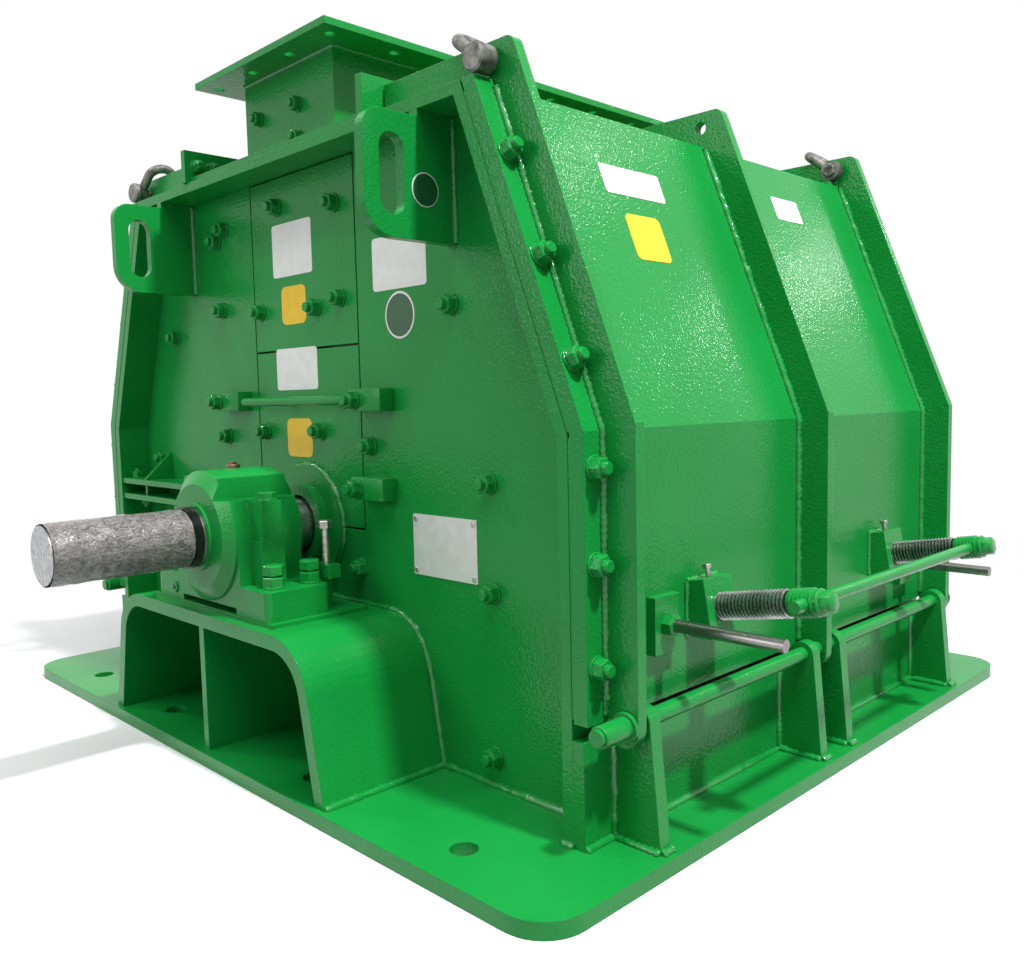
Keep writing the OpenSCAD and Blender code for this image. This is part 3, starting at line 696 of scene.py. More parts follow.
# ------------------------------------------------------------------- stage
@dataclass
class Stage:
    """Pale floor, plain studio light and the camera."""

    eye: tuple[float, float, float] = (2063, -1969, 813)
    lens: float = 33.19
    fill: float = 0.30
    bounce: str = "#8C8D8C"
    fade: tuple[float, float] = (1.7, 2.6)
    floor_half: float = 30.0
    floor_t: float = 0.02
    view_right: tuple[float, float, float] = (0.7037, 0.7102, -0.0221)
    view_down: tuple[float, float, float] = (0.0466, -0.0771, -0.9960)

    def backdrop_rays(self, tree: bpy.types.NodeTree) -> bpy.types.NodeSocket:
        """Picks the rays that see the pale background: the camera's, and those in gloss and glass.

        Args:
            tree: the node tree.

        Returns:
            1 for those rays, 0 for the rest.
        """
        rays = node(tree, "ShaderNodeLightPath")
        seen = node(tree, "ShaderNodeMath", {"operation": "MAXIMUM"},
                    {"0": rays.outputs["Is Camera Ray"], "1": rays.outputs["Is Transmission Ray"]})
        return node(tree, "ShaderNodeMath", {"operation": "MAXIMUM"},
                    {"0": seen.outputs[0], "1": rays.outputs["Is Glossy Ray"]}).outputs[0]

    def floor(self) -> None:
        """Lays a pale floor that keeps the shadow near the machine and fades to white further off."""
        form = Form("studio_floor")
        half = self.floor_half
        form.block(Vector((-half, -half, -self.floor_t)), Vector((half, half, 0.0)))
        mesh = form.mesh()
        floor = bpy.data.objects.new("studio_floor", mesh)
        bpy.context.scene.collection.objects.link(floor)
        material, tree = new_material("pale_floor")
        matt = node(tree, "ShaderNodeBsdfPrincipled", {"Base Color": linear("#F4F5F5"), "Roughness": 0.9,
                                                       "Specular IOR Level": 0.1})
        white = node(tree, "ShaderNodeEmission", {"Color": (1.0, 1.0, 1.0, 1.0), "Strength": 1.0})
        place = node(tree, "ShaderNodeTexCoord").outputs["Object"]
        reach = node(tree, "ShaderNodeVectorMath", {"operation": "LENGTH"}, {"0": place})
        fade = node(tree, "ShaderNodeMapRange", {"From Min": self.fade[0], "From Max": self.fade[1]},
                    {"Value": reach.outputs["Value"]})
        far = node(tree, "ShaderNodeMath", {"operation": "MULTIPLY"},
                   {"0": fade.outputs[0], "1": self.backdrop_rays(tree)})
        pale = node(tree, "ShaderNodeMixShader",
                    links={"0": far.outputs[0], "1": matt.outputs[0], "2": white.outputs[0]})
        grey = node(tree, "ShaderNodeBsdfDiffuse", {"Color": linear(self.bounce)})
        bounced = node(tree, "ShaderNodeLightPath").outputs["Is Diffuse Ray"]
        output(tree, node(tree, "ShaderNodeMixShader",
                          links={"0": bounced, "1": pale.outputs[0], "2": grey.outputs[0]}))
        mesh.materials.append(material)

    def world(self) -> None:
        """Fills the surroundings with plain pale light."""
        world = bpy.data.worlds.new("pale_surroundings")
        bpy.context.scene.world = world
        world.use_nodes = True
        tree = world.node_tree
        tree.nodes.clear()
        fill = node(tree, "ShaderNodeBackground", {"Color": linear("#F2F4F6"), "Strength": self.fill})
        seen = node(tree, "ShaderNodeBackground", {"Color": (1.0, 1.0, 1.0, 1.0), "Strength": 1.0})
        mix = node(tree, "ShaderNodeMixShader",
                   links={"0": self.backdrop_rays(tree), "1": fill.outputs[0], "2": seen.outputs[0]})
        node(tree, "ShaderNodeOutputWorld", links={"Surface": mix.outputs[0]})

    def lamp(self, name: str, place: tuple[float, float, float], aim: tuple[float, float, float],
             size: tuple[float, float], power: float) -> None:
        """Hangs one soft box.

        Args:
            name: its name.
            place: where it hangs, metres.
            aim: what it points at, metres.
            size: width and height, metres.
            power: watts.
        """
        data = bpy.data.lights.new(name, "AREA")
        data.shape = "RECTANGLE"
        data.size, data.size_y = size
        data.energy = power
        made = bpy.data.objects.new(name, data)
        made.location = place
        made.rotation_euler = (Vector(aim) - Vector(place)).to_track_quat("-Z", "Y").to_euler()
        bpy.context.scene.collection.objects.link(made)

    def lamps(self) -> None:
        """Lights the machine as a row of high lamps in a hall does."""
        self.lamp("high_hall_lamp", (4.7, -0.35, 8.3), (0.2, -0.2, 0.6), (0.5, 0.5), 900)
        self.lamp("left_hall_lamp", (-4.6, -3.4, 6.5), (0.0, -0.5, 0.8), (0.5, 0.5), 110)
        self.lamp("top_soft_box", (2.6, -3.0, 8.0), (0.2, -0.2, 0.6), (5.0, 5.0), 350)
        self.lamp("side_soft_box", (5.2, 0.4, 2.6), (0.6, 0.0, 0.8), (2.6, 2.2), 6)
        self.lamp("front_soft_box", (-1.6, -5.4, 2.4), (0.0, -0.5, 0.8), (2.6, 2.2), 60)
        self.lamp("near_hall_lamp", (2.2, 2.4, 3.8), (0.8, -0.3, 1.1), (0.22, 0.22), 7)
        self.lamp("far_hall_lamp", (2.5, 5.2, 3.4), (0.9, 0.3, 1.1), (0.3, 0.3), 11)

    def camera(self) -> None:
        """Sets the camera at eye level off the front right corner."""
        data = bpy.data.cameras.new("camera")
        data.lens = self.lens
        data.sensor_width = 36.0
        data.clip_end = 200.0
        made = bpy.data.objects.new("camera", data)
        right, down = Vector(self.view_right), Vector(self.view_down)
        back = right.cross(down) * -1
        turn = Matrix((right, -down, back)).transposed()
        made.matrix_world = Matrix.Translation(at(*self.eye)) @ turn.to_4x4()
        bpy.context.scene.collection.objects.link(made)
        bpy.context.scene.camera = made

    def build(self) -> None:
        """Sets up everything that isn't part of the machine."""
        self.floor()
        self.world()
        self.lamps()
        self.camera()
        bpy.context.scene.view_settings.view_transform = "Standard"


# ------------------------------------------------------------ sub-assemblies
@dataclass
class EndWall:
    """Studs, clamp blocks, bar handle and weld beads on one end wall."""

    end: End
    # x and z of each stud; x0, x1, z and bolt x of each clamp block; x0, x1 and z of the bar.
    studs: tuple[tuple[float, float], ...] = (
        (563, 1008), (666, 638), (670, 412), (667, 65), (267, 707), (214, 415), (-405, 721), (-197, 737),
        (61, 740), (-697, 1014), (-823, 649), (-378, 1289), (-421, 1262), (-104, 1309), (150, 1281),
        (-405, 1072), (-200, 1051), (61, 1043), (164, 1058))
    clamps: tuple[tuple[float, float, float, float], ...] = (
        (-402, -274, 818, -380), (236, 358, 814, 260), (236, 358, 610, 260))
    clamp_out: float = 40.0
    clamp_half: float = 26.0
    bar: tuple[float, float, float] = (-212, 236, 815)
    bar_r: float = 11.0
    bar_out: float = 55.0
    legs: tuple[float, float] = (-51, 154)
    seal_r: float = 148.0
    seal_steps: int = 24
    lug_x: tuple[float, float] = (559, 584)
    lug_z: tuple[float, float] = (1130, 1380)
    foot_run: tuple[float, float] = (506, 936)
    rim_run: tuple[float, float] = (967, 938)
    pedestal_foot: float = 500.0
    pedestal_out: float = 314.0
    pedestal_edge: tuple[tuple[float, float], ...] = (
        (500, 3), (463, 205), (442, 262), (412, 300), (370, 322), (330, 328))

    def spot(self, x: float, z: float, out: float = 0.0) -> Vector:
        """Gives a point in front of this wall.

        Args:
            x: across the machine, mm.
            z: above the base plate, mm.
            out: distance in front of the wall, mm.

        Returns:
            The point.
        """
        return flip(at(x, -M.wall - out, z), self.end.value, self.end.value)

    @property
    def out(self) -> Vector:
        """The direction away from the machine."""
        return Vector((0, -self.end.value, 0))

    def bolts(self) -> None:
        """Seats the studs that hold the wear liners, and those of the clamp blocks."""
        row = Bolting(f"{self.end.word}_wall_studs", "housing", Hardware.NUT_M24)
        for x, z in self.studs:
            row.add(self.spot(x, z), self.out)
        for _, _, z, x in self.clamps:
            row.add(self.spot(x, z, self.clamp_out), self.out)
        row.build()

    def blocks(self) -> None:
        """Builds the blocks that clamp the service panels."""
        form = Form(f"{self.end.word}_clamp_blocks")
        for x0, x1, z, _ in self.clamps:
            a = self.spot(x0, z - self.clamp_half)
            b = self.spot(x1, z + self.clamp_half, self.clamp_out)
            form.block(Vector(map(min, a, b)), Vector(map(max, a, b)), 2.5)
        form.piece("housing", Paint.ENAMEL)

    def handle(self) -> None:
        """Builds the round bar that the lower panel is lifted out by."""
        form = Form(f"{self.end.word}_bar_handle")
        x0, x1, z = self.bar
        start = self.spot(x0, z, self.bar_out)
        stop = self.spot(x1, z, self.bar_out)
        form.round(facing((start + stop) / 2, start - stop), self.bar_r, (x1 - x0) / 2, 20, 3)
        form.round(facing((start + stop) / 2, stop - start), self.bar_r, (x1 - x0) / 2, 20, 3)
        for x in self.legs:
            form.round(facing(self.spot(x, z - 3), self.out), self.bar_r * 0.8, self.bar_out, 16)
        form.piece("housing", Paint.ENAMEL)

    def beads(self) -> None:
        """Lays the beads round the seal plate, the lugs, the pedestal and the foot of the wall."""
        seams = Seams(f"{self.end.word}_wall_beads", "housing")
        ring = [self.spot(self.seal_r * math.cos(a), M.axis_z + self.seal_r * math.sin(a), 2)
                for a in (math.tau * i / self.seal_steps for i in range(self.seal_steps + 1))]
        seams.run(*ring)
        step = M.rim - M.wall
        for side in (-1, 1):
            for x in self.lug_x:
                seams.run(*(self.spot(side * x, z) for z in self.lug_z))
            seams.run(*(self.spot(side * x, 2) for x in self.foot_run))
            seams.run(*(self.spot(side * x, z) for x, z in self.pedestal_edge))
            outer, inner = self.rim_run
            seams.run(self.spot(side * outer, 2, step), self.spot(side * inner, 2, step),
                      self.spot(side * inner, 2))
            seams.run(*(self.spot(side * self.pedestal_foot, 2, out) for out in (0, self.pedestal_out)))
        x, z = self.pedestal_edge[-1]
        seams.run(self.spot(-x, z), self.spot(x, z))
        seams.build()

    def build(self) -> None:
        """Builds all of the wall's pieces."""
        self.bolts()
        self.blocks()
        self.handle()
        self.beads()


@dataclass
class Stickers:
    """Bare vinyl stickers and one bare aluminium plate, on the front and on the right-hand cover."""

    # x, z, width and height of each sticker and of the plate; x, z and radius of the disc on the wall.
    vinyl_t: float = 0.8
    plate_t: float = 2.0
    corner: float = 9.0
    white: tuple[tuple[float, float, float, float], ...] = (
        (-40, 1198, 181, 133), (-38, 897, 189, 106), (391, 1117, 190, 118))
    yellow: tuple[tuple[float, float, float, float], ...] = ((-40, 1058, 112, 96), (-36, 722, 116, 98))
    disc: tuple[float, float, float] = (390, 1000, 52)
    disc_rim: float = 5.0
    # y, z and radius on the lug; y, z, width and height on the cover.
    lug_disc: tuple[float, float, float] = (-734, 1227, 34)
    lug_disc_rim: float = 2.5
    plate: tuple[float, float, float, float] = (521, 492, 209, 136)
    plate_corner: float = 3.0
    screw_in: float = 10.0
    cover_white: tuple[tuple[float, float, float, float], ...] = ((-356, 1253, 200, 62), (300, 1278, 129, 60))
    cover_white_corner: float = 6.0
    cover_yellow: tuple[float, float, float, float] = (-364, 1133, 116, 104)
    cover_yellow_corner: float = 14.0

    def wall_place(self, x: float, z: float) -> Matrix:
        """Places something flat on the front wall."""
        return facing(at(x, -M.wall, z), Vector((0, -1, 0)))

    def lug_place(self, out: float) -> Matrix:
        """Places the small disc on the side of the right-hand lug, a distance out off its face, mm."""
        y, z, _ = self.lug_disc
        return facing(at(M.lug + out, y, z), Vector((1, 0, 0)))

    def cover_place(self, y: float, z: float) -> Matrix:
        """Places something flat on the sloping face of the right-hand cover."""
        point, normal = M.edge(z)
        return facing(point + Vector((0, y * MM, 0)), normal)

    def on_wall(self) -> None:
        """Lays the stickers and the plate on the front wall."""
        white = Form("front_white_stickers")
        for x, z, wide, high in self.white:
            white.card(self.wall_place(x, z), wide, high, self.vinyl_t, self.corner)
        white.round(self.wall_place(*self.disc[:2]), self.disc[2], self.vinyl_t, 48)
        white.round(self.lug_place(0), self.lug_disc[2], self.vinyl_t, 40)
        white.piece("housing", Paint.WHITE)
        green = Form("front_green_discs")
        green.round(self.wall_place(*self.disc[:2]) @ Matrix.Translation((0, 0, self.vinyl_t * MM)),
                    self.disc[2] - self.disc_rim, self.vinyl_t, 48)
        green.round(self.lug_place(self.vinyl_t), self.lug_disc[2] - self.lug_disc_rim, self.vinyl_t, 40)
        green.piece("housing", Paint.DARK)
        yellow = Form("front_yellow_stickers")
        for x, z, wide, high in self.yellow:
            yellow.card(self.wall_place(x, z), wide, high, self.vinyl_t, self.corner * 2)
        yellow.piece("housing", Paint.YELLOW)
        x, z, wide, high = self.plate
        blank = Form("bare_plate")
        blank.card(self.wall_place(x, z), wide, high, self.plate_t, self.plate_corner)
        blank.piece("housing", Paint.BLANK)
        screws = Form("bare_plate_screws")
        off_x, off_z = wide / 2 - self.screw_in, high / 2 - self.screw_in
        for sx in (-1, 1):
            for sz in (-1, 1):
                place = facing(at(x + sx * off_x, -M.wall - self.plate_t, z + sz * off_z), Vector((0, -1, 0)))
                screws.round(place, 6.5, 3, 20, 1.5)
        screws.piece("housing", Paint.BOLT)

    def on_cover(self) -> None:
        """Lays the stickers on the sloping face of the right-hand cover."""
        white = Form("cover_white_stickers")
        for y, z, wide, high in self.cover_white:
            white.card(self.cover_place(y, z), wide, high / math.cos(M.lean), self.vinyl_t,
                       self.cover_white_corner)
        white.piece("right_cover_body", Paint.WHITE)
        yellow = Form("cover_yellow_sticker")
        y, z, wide, high = self.cover_yellow
        yellow.card(self.cover_place(y, z), wide, high, self.vinyl_t, self.cover_yellow_corner)
        yellow.piece("right_cover_body", Paint.YELLOW)

    def build(self) -> None:
        """Lays all the stickers."""
        self.on_wall()
        self.on_cover()


@dataclass
class Cover:
    """Bolts, seal strips and beads on one swinging cover."""

    side: Side
    nut_y: float = 722.0
    nut_zs: tuple[float, ...] = (1260, 1064, 875, 688, 518, 333)
    strip_t: float = 4.5
    strip_off: float = 0.4
    strip_wide: float = 86.0
    strip_y: float = 705.0
    strip_top: float = 1395.0
    rib_ys: tuple[float, ...] = (-686, 0, 686)
    rib_half: float = 12.0
    low_z: float = 238.0
    bead_zs: tuple[float, ...] = (244, 500, 751.9, 1000, 1200, 1390)
    middle_top: float = 1388.0

    def turned(self, v: Vector) -> Vector:
        """Puts a right-hand point or direction on this side."""
        return flip(v, self.side.value, 1)

    def skin(self, y: float, z: float, out: float = 0.0) -> Vector:
        """Gives a point on the outer face of this cover.

        Args:
            y: along the shaft, mm.
            z: above the base plate, mm.
            out: distance off the face, mm.

        Returns:
            The point.
        """
        point, normal = M.edge(z)
        return self.turned(point + normal * out * MM + Vector((0, y * MM, 0)))

    def bolts(self) -> None:
        """Seats the nuts that close the cover on the end frames."""
        row = Bolting(f"{self.side.word}_cover_nuts", self.side.cover, Hardware.NUT_M24)
        for z in self.nut_zs:
            for end in BOTH_ENDS:
                row.add(self.skin(-end.value * self.nut_y, z), self.turned(M.edge(z)[1]))
        row.build()

    def strips(self) -> None:
        """Builds the strips that close the joint between the cover's edge flanges and the end frames."""
        form = Form(f"{self.side.word}_joint_strips")
        depth = M.edge_x - M.rim_x - self.strip_off
        for end in BOTH_ENDS:
            along = Vector((0, -end.value * self.strip_y * MM, 0))
            for z0, z1 in ((self.low_z, M.edge_knee), (M.edge_knee, self.strip_top)):
                middle, normal = M.edge((z0 + z1) / 2)
                place = facing(self.turned(middle - normal * depth * MM + along), self.turned(normal))
                form.card(place, self.strip_wide, (z1 - z0) / normal.x, self.strip_t, 1.0)
        form.piece(self.side.cover, Paint.ENAMEL)

    def beads(self) -> None:
        """Lays the beads on both sides of each rib."""
        seams = Seams(f"{self.side.word}_cover_beads", self.side.cover)
        for rib in self.rib_ys:
            for face in (-1, 1):
                y = rib + face * self.rib_half
                seams.run(*(self.skin(y, z if rib else min(z, self.middle_top), 1) for z in self.bead_zs))
        seams.build()

    def build(self) -> None:
        """Builds all of the cover's dressing."""
        self.bolts()
        self.strips()
        self.beads()


@dataclass
class Adjusters:
    """The two adjusting screws of one cover, with their brackets, cross handle and guide rods."""

    side: Side
    ys: tuple[float, float] = (-400, 400)
    start: tuple[float, float] = (1052, 396)
    tilt: float = math.radians(10)
    crest_highlight: float = 28.0
    root: float = 24.5
    pitch: float = 8.0
    painted_from: float = 152.0
    length: float = 214.0
    hex_flats: float = 36.0
    hex_long: float = 22.0
    guide_y: float = 538.0
    guide_zs: tuple[float, float] = (381.0, 348.0)
    guide_x: float = 1022.0
    # The clamp bolt's x, distance before the screw and z; radius and length of bolt, head and nut.
    ridge_from: float = -8.0
    core_back: float = 14.0
    clamp: tuple[float, float, float] = (1026, 8, 453)
    clamp_bolt: tuple[float, float] = (5.5, 18)
    clamp_head: tuple[float, float] = (10.5, 8)
    guide_nut: tuple[float, float] = (22, 20)
    bracket_face: float = 1003.0
    bracket_half: float = 50.0
    bracket_zs: tuple[float, float] = (338, 448)

    @property
    def axis(self) -> Vector:
        """The direction of the screws, outwards."""
        return flip(Vector((math.cos(self.tilt), 0, math.sin(self.tilt))), self.side.value, 1)

    def along(self, y: float, s: float) -> Vector:
        """Gives the point a distance s along a screw, mm."""
        return flip(at(self.start[0], y, self.start[1]), self.side.value, 1) + self.axis * s * MM

    def ridge(self, form: Form, y: float, s0: float, s1: float) -> None:
        """Winds the ridge of a coarse thread round a screw.

        Args:
            form: the piece to add it to.
            y: the screw's place along the shaft, mm.
            s0: start along the screw, mm.
            s1: end along the screw, mm.
        """
        place = facing(self.along(y, s0), self.axis)
        turns = int((s1 - s0) / self.pitch) - 1
        low, top = self.root - 0.6, self.crest_highlight
        half, lip = self.pitch * 0.38, self.pitch * 0.14
        ring = [(low, -half), (top, -lip), (top, lip), (low, half)]
        lift = self.pitch / 2 + 1
        verts = [form.bm.verts.new(place @ Vector((r * MM, 0, (h + lift) * MM))) for r, h in ring]
        tooth = form.bm.faces.new(verts)
        steps = 22
        bmesh.ops.spin(form.bm, geom=[tooth, *tooth.edges, *tooth.verts], cent=place.translation,
                       axis=self.axis, dvec=self.axis * (self.pitch / steps * MM),
                       angle=math.tau * turns, steps=steps * turns, use_duplicate=False)

    def screws(self) -> None:
        """Builds the screws: where they run, a near-black core carrying painted shade in the roots and crests
        in lighter steel carrying a painted highlight; green enamel at the outer ends.
        """
        core = Form(f"{self.side.word}_screw_cores")
        crests = Form(f"{self.side.word}_screw_threads")
        ends = Form(f"{self.side.word}_screw_ends")
        for y in self.ys:
            core.round(facing(self.along(y, -self.core_back), self.axis), self.root,
                       self.painted_from + self.core_back, 28)
            self.ridge(crests, y, self.ridge_from, self.painted_from)
            ends.round(facing(self.along(y, self.painted_from), self.axis), self.root,
                       self.length - self.painted_from, 28)
            self.ridge(ends, y, self.painted_from, self.length)
            ends.round(facing(self.along(y, self.length - 3), self.axis), self.crest_highlight - 2, 4, 28, 1.5)
            ends.round(facing(self.along(y, self.length), self.axis),
                       self.hex_flats / 2 / math.cos(math.radians(30)), self.hex_long, 6, 1)
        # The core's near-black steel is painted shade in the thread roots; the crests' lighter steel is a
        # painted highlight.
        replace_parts(core.piece(self.side.cover, Paint.THREAD, 50), f"{self.side.word}_adjusting_screws")
        # Crests in lighter steel: a painted highlight along each turn of the thread.
        crests.piece(self.side.cover, Paint.CREST_HIGHLIGHT, 50)
        ends.piece(self.side.cover, Paint.THREADED, 50)

    def fixings(self) -> None:
        """Seats the lock nuts of the guide rods and the clamp bolts on the brackets."""
        nuts = Form(f"{self.side.word}_guide_nuts")
        bolts = Form(f"{self.side.word}_clamp_bolts")
        out = flip(Vector((1, 0, 0)), self.side.value, 1)
        up = flip(Vector((-math.sin(self.tilt), 0, math.cos(self.tilt))), self.side.value, 1)
        for sign, z in zip((-1, 1), self.guide_zs):
            point = flip(at(self.guide_x, sign * self.guide_y, z), self.side.value, 1)
            nuts.round(facing(point, out, 0.3), *self.guide_nut, 6, 2)
            x, before, high = self.clamp
            top = facing(flip(at(x, sign * self.ys[1] - before, high), self.side.value, 1), up)
            bolts.round(top, *self.clamp_bolt, 16)
            head = top @ Matrix.Translation((0, 0, (self.clamp_bolt[1] - 1) * MM))
            bolts.round(head, *self.clamp_head, 6, 1.5)
        nuts.piece(self.side.cover, Paint.ENAMEL)
        bolts.piece(self.side.cover, Paint.BOLT)

    def beads(self) -> None:
        """Lays the beads round the brackets and backing plates."""
        seams = Seams(f"{self.side.word}_bracket_beads", self.side.cover, 6.0)
        low, high = self.bracket_zs
        for middle in self.ys:
            left, right = middle - self.bracket_half, middle + self.bracket_half
            for stretch in (((left, low), (left, high)), ((right, low), (right, high)),
                            ((left, high), (right, high))):
                seams.run(*(flip(at(self.bracket_face, y, z), self.side.value, 1) for y, z in stretch))
        seams.build()

    def build(self) -> None:
        """Builds all of this side's adjusters."""
        self.screws()
        self.fixings()
        self.beads()


@dataclass
class Hinge:
    """Beads round the hinge brackets and collars on the hinge rod of one side."""

    side: Side
    bracket_ys: tuple[float, ...] = (-652, -62, 62, 652)
    half: float = 15.0
    wall_x: float = 992.0
    toe_x: float = 1097.0
    rod: tuple[float, float] = (1048, 231)
    # Place along the rod, radius and length of the washer; radius and length of the collar at each end.
    bead_top: float = 184.0
    end_y: float = 749.0
    washer: tuple[float, float, float] = (699, 28, 7)
    collar_y: float = 706.0
    collar: ClassVar[dict[End, tuple[float, float]]] = {End.FRONT: (21, 68), End.REAR: (20, 5)}

    def spot(self, x: float, y: float, z: float) -> Vector:
        """Gives a point on this side."""
        return flip(at(x, y, z), self.side.value, 1)

    def beads(self) -> None:
        """Lays the beads of the brackets and of the lower wall."""
        seams = Seams(f"{self.side.word}_hinge_beads", "housing")
        for y in self.bracket_ys:
            for face in (-1, 1):
                edge = y + face * self.half
                seams.run(self.spot(self.wall_x, edge, self.bead_top), self.spot(self.wall_x, edge, 3),
                          self.spot(self.toe_x, edge, 2))
            seams.run(*(self.spot(self.toe_x + 2, y + face * self.half, 2) for face in (-1, 1)))
        faces = (y + face * self.half for y in self.bracket_ys for face in (-1, 1))
        stops = [-self.end_y, *faces, self.end_y]
        for start, stop in zip(stops[::2], stops[1::2]):
            seams.run(self.spot(self.wall_x, start, 2), self.spot(self.wall_x, stop, 2))
        seams.build()

    def collars(self) -> None:
        """Builds the collars that hold the rod at both ends, and its washers."""
        form = Form(f"{self.side.word}_hinge_collars")
        x, z = self.rod
        for end in BOTH_ENDS:
            out = Vector((0, -end.value, 0))
            y, radius, long = self.washer
            form.round(facing(self.spot(x, -end.value * y, z), out), radius, long, 32, 1.5)
            form.round(facing(self.spot(x, -end.value * self.collar_y, z), out), *self.collar[end], 28, 2)
        form.piece("housing", Paint.ENAMEL)

    def build(self) -> None:
        """Builds the hinge dressing."""
        self.beads()
        self.collars()


@dataclass
class Bearing:
    """Bolts, grease fitting, drain plug and jacking bolts of one split plummer block."""

    end: End
    foot_top: float = 403.0
    foot_bolts: tuple[tuple[float, float], ...] = ((218, -896), (218, -804))
    ear_top: float = 594.0
    cap_bolt: tuple[float, float] = (168, -877)
    jack: tuple[float, float, float] = (226, -764, 441)
    grease: tuple[float, float, float] = (-18, -856, 659)
    drain: tuple[float, float] = (-171, 364)
    foot_y: float = 943.0
    # Washer, head, thread and nut over each foot: start, radius, height, sides and chamfer.
    foot_stack: ClassVar[tuple[tuple[float, float, float, int, float], ...]] = (
        (0, 25.5, 4, 28, 1), (4, 25.5, 22, 6, 2.5), (26, 17, 4, 20, 0), (30, 24.5, 22, 6, 2.5))
    # Radius and length of each turned piece.
    jack_stem: tuple[float, float] = (9, 84)
    jack_head: tuple[float, float] = (18, 17)
    grease_base: tuple[float, float] = (17, 9)
    grease_tip: tuple[float, float] = (11, 7)
    drain_ring: tuple[float, float] = (14, 4)
    drain_socket: tuple[float, float] = (7, 1)

    def spot(self, x: float, y: float, z: float) -> Vector:
        """Gives a point at this end."""
        return flip(at(x, y, z), 1, self.end.value)

    def bolts(self) -> None:
        """Seats the foot and cap bolts."""
        up = Vector((0, 0, 1))
        form = Form(f"{self.end.word}_foot_bolts")
        for side in (-1, 1):
            for x, y in self.foot_bolts:
                place = facing(self.spot(side * x, y, self.foot_top), up, 0.4 * y)
                for start, radius, height, sides, chamfer in self.foot_stack:
                    form.round(place @ Matrix.Translation((0, 0, start * MM)), radius, height, sides, chamfer)
        form.piece("housing", Paint.ENAMEL)
        caps = Bolting(f"{self.end.word}_cap_bolts", "housing", Hardware.HEAD_M24)
        x, y = self.cap_bolt
        for side in (-1, 1):
            caps.add(self.spot(side * x, y, self.ear_top), up)
        caps.build()

    def zinc(self) -> None:
        """Builds the jacking bolts, the grease fitting and the drain plug."""
        form = Form(f"{self.end.word}_jacking_bolts")
        up = Vector((0, 0, 1))
        x, y, z = self.jack
        for side in (-1, 1):
            form.round(facing(self.spot(side * x, y, z), up), *self.jack_stem, 20)
            head = self.spot(side * x, y, z + self.jack_stem[1] - 1)
            form.round(facing(head, up, 0.3), *self.jack_head, 6, 2)
        form.piece("housing", Paint.BOLT)
        fitting = Form(f"{self.end.word}_grease_fitting")
        low = facing(self.spot(*self.grease), up)
        fitting.round(low, *self.grease_base, 24, 2)
        fitting.round(low @ Matrix.Translation((0, 0, (self.grease_base[1] - 1) * MM)),
                      *self.grease_tip, 6, 1)
        fitting.piece("housing", Paint.COPPER)
        plug = Form(f"{self.end.word}_drain_plug")
        x, z = self.drain
        outward = Vector((0, -self.end.value, 0))
        plug.round(facing(self.spot(x, -self.foot_y, z), outward), *self.drain_ring, 24, 1.5)
        plug.piece("housing", Paint.ENAMEL)
        # The socket is a near-black hexagon on the plug's face: painted shade standing in for the hollow of
        # the socket.
        socket = Form(f"{self.end.word}_drain_socket")
        socket.round(facing(self.spot(x, -self.foot_y - self.drain_ring[1], z), outward),
                     *self.drain_socket, 6)
        socket.piece("housing", Paint.THREAD)

    def build(self) -> None:
        """Builds the bearing's dressing."""
        self.bolts()
        self.zinc()


@dataclass
class Inlet:
    """Bolts and beads round the inlet box and the upright flanges beside it."""

    front_bolts: tuple[tuple[float, float], ...] = ((-131, 1529), (47, 1527), (45, 1450))
    box: tuple[float, float] = (198, 675)
    top_z: float = 1422.0
    flange_z: float = 1623.0
    upright: tuple[float, float] = (391, 411)
    upright_half: float = 730.0
    upright_nuts: tuple[float, float] = (-722, -677)
    upright_nut_z: float = 1452.0

    def bolts(self) -> None:
        """Seats the studs on the ends of the box and the nuts on the upright flanges."""
        row = Bolting("inlet_studs", "housing", Hardware.NUT_M20)
        for end in BOTH_ENDS:
            for x, z in self.front_bolts:
                row.add(flip(at(x, -self.box[1], z), end.value, end.value), Vector((0, -end.value, 0)))
        for side in BOTH_SIDES:
            for end in BOTH_ENDS:
                for y in self.upright_nuts:
                    row.add(flip(at(self.upright[0], y, self.upright_nut_z), side.value, end.value),
                            Vector((-side.value, 0, 0)))
        row.build()

    def beads(self) -> None:
        """Lays the beads round the foot and under the flange of the box."""
        seams = Seams("inlet_beads", "housing", 6.0)
        x, y = self.box
        for z in (self.top_z, self.flange_z):
            seams.run(at(-x, -y, z), at(x, -y, z), at(x, y, z), at(-x, y, z), at(-x, -y, z))
        for sx in (-1, 1):
            for inner in self.upright:
                seams.run(*(at(sx * inner, y, self.top_z) for y in (-self.upright_half, self.upright_half)))
        seams.build()

    def build(self) -> None:
        """Builds the inlet's dressing."""
        self.bolts()
        self.beads()


@dataclass
class Shelf:
    """Slanting rib and bolts on the service shelf beside the shaft, at one end."""

    end: End
    # The rib's lower front corner (x, y, z) and its upper rear corner (y, z).
    foot: tuple[float, float, float] = (-782, -744, 585)
    head: tuple[float, float] = (-655, 668)
    rib_half: float = 6.0
    upper_bolt: tuple[float, float, float] = (-930, -700, 585)
    lower_bolt: tuple[float, float, float] = (-870, -700, 521)

    def spot(self, x: float, y: float, z: float) -> Vector:
        """Gives a point at this end."""
        return flip(at(x, y, z), self.end.value, self.end.value)

    def build(self) -> None:
        """Builds the rib and its bolts."""
        form = Form(f"{self.end.word}_shelf_rib")
        x0, y0, z0 = self.foot
        y1, z1 = self.head
        corners = [self.spot(x0, y0, z0), self.spot(x0, y1, z0), self.spot(x0, y1, z1)]
        verts = [form.bm.verts.new(c + Vector((sign * self.rib_half * MM, 0, 0)))
                 for c in corners for sign in (-1, 1)]
        bmesh.ops.convex_hull(form.bm, input=verts)
        form.piece("housing", Paint.ENAMEL)
        row = Bolting(f"{self.end.word}_shelf_bolts", "housing", Hardware.NUT_M20)
        row.add(self.spot(*self.upper_bolt), Vector((0, 0, 1)))
        row.add(self.spot(*self.lower_bolt), Vector((0, 0, -1)))
        row.build()


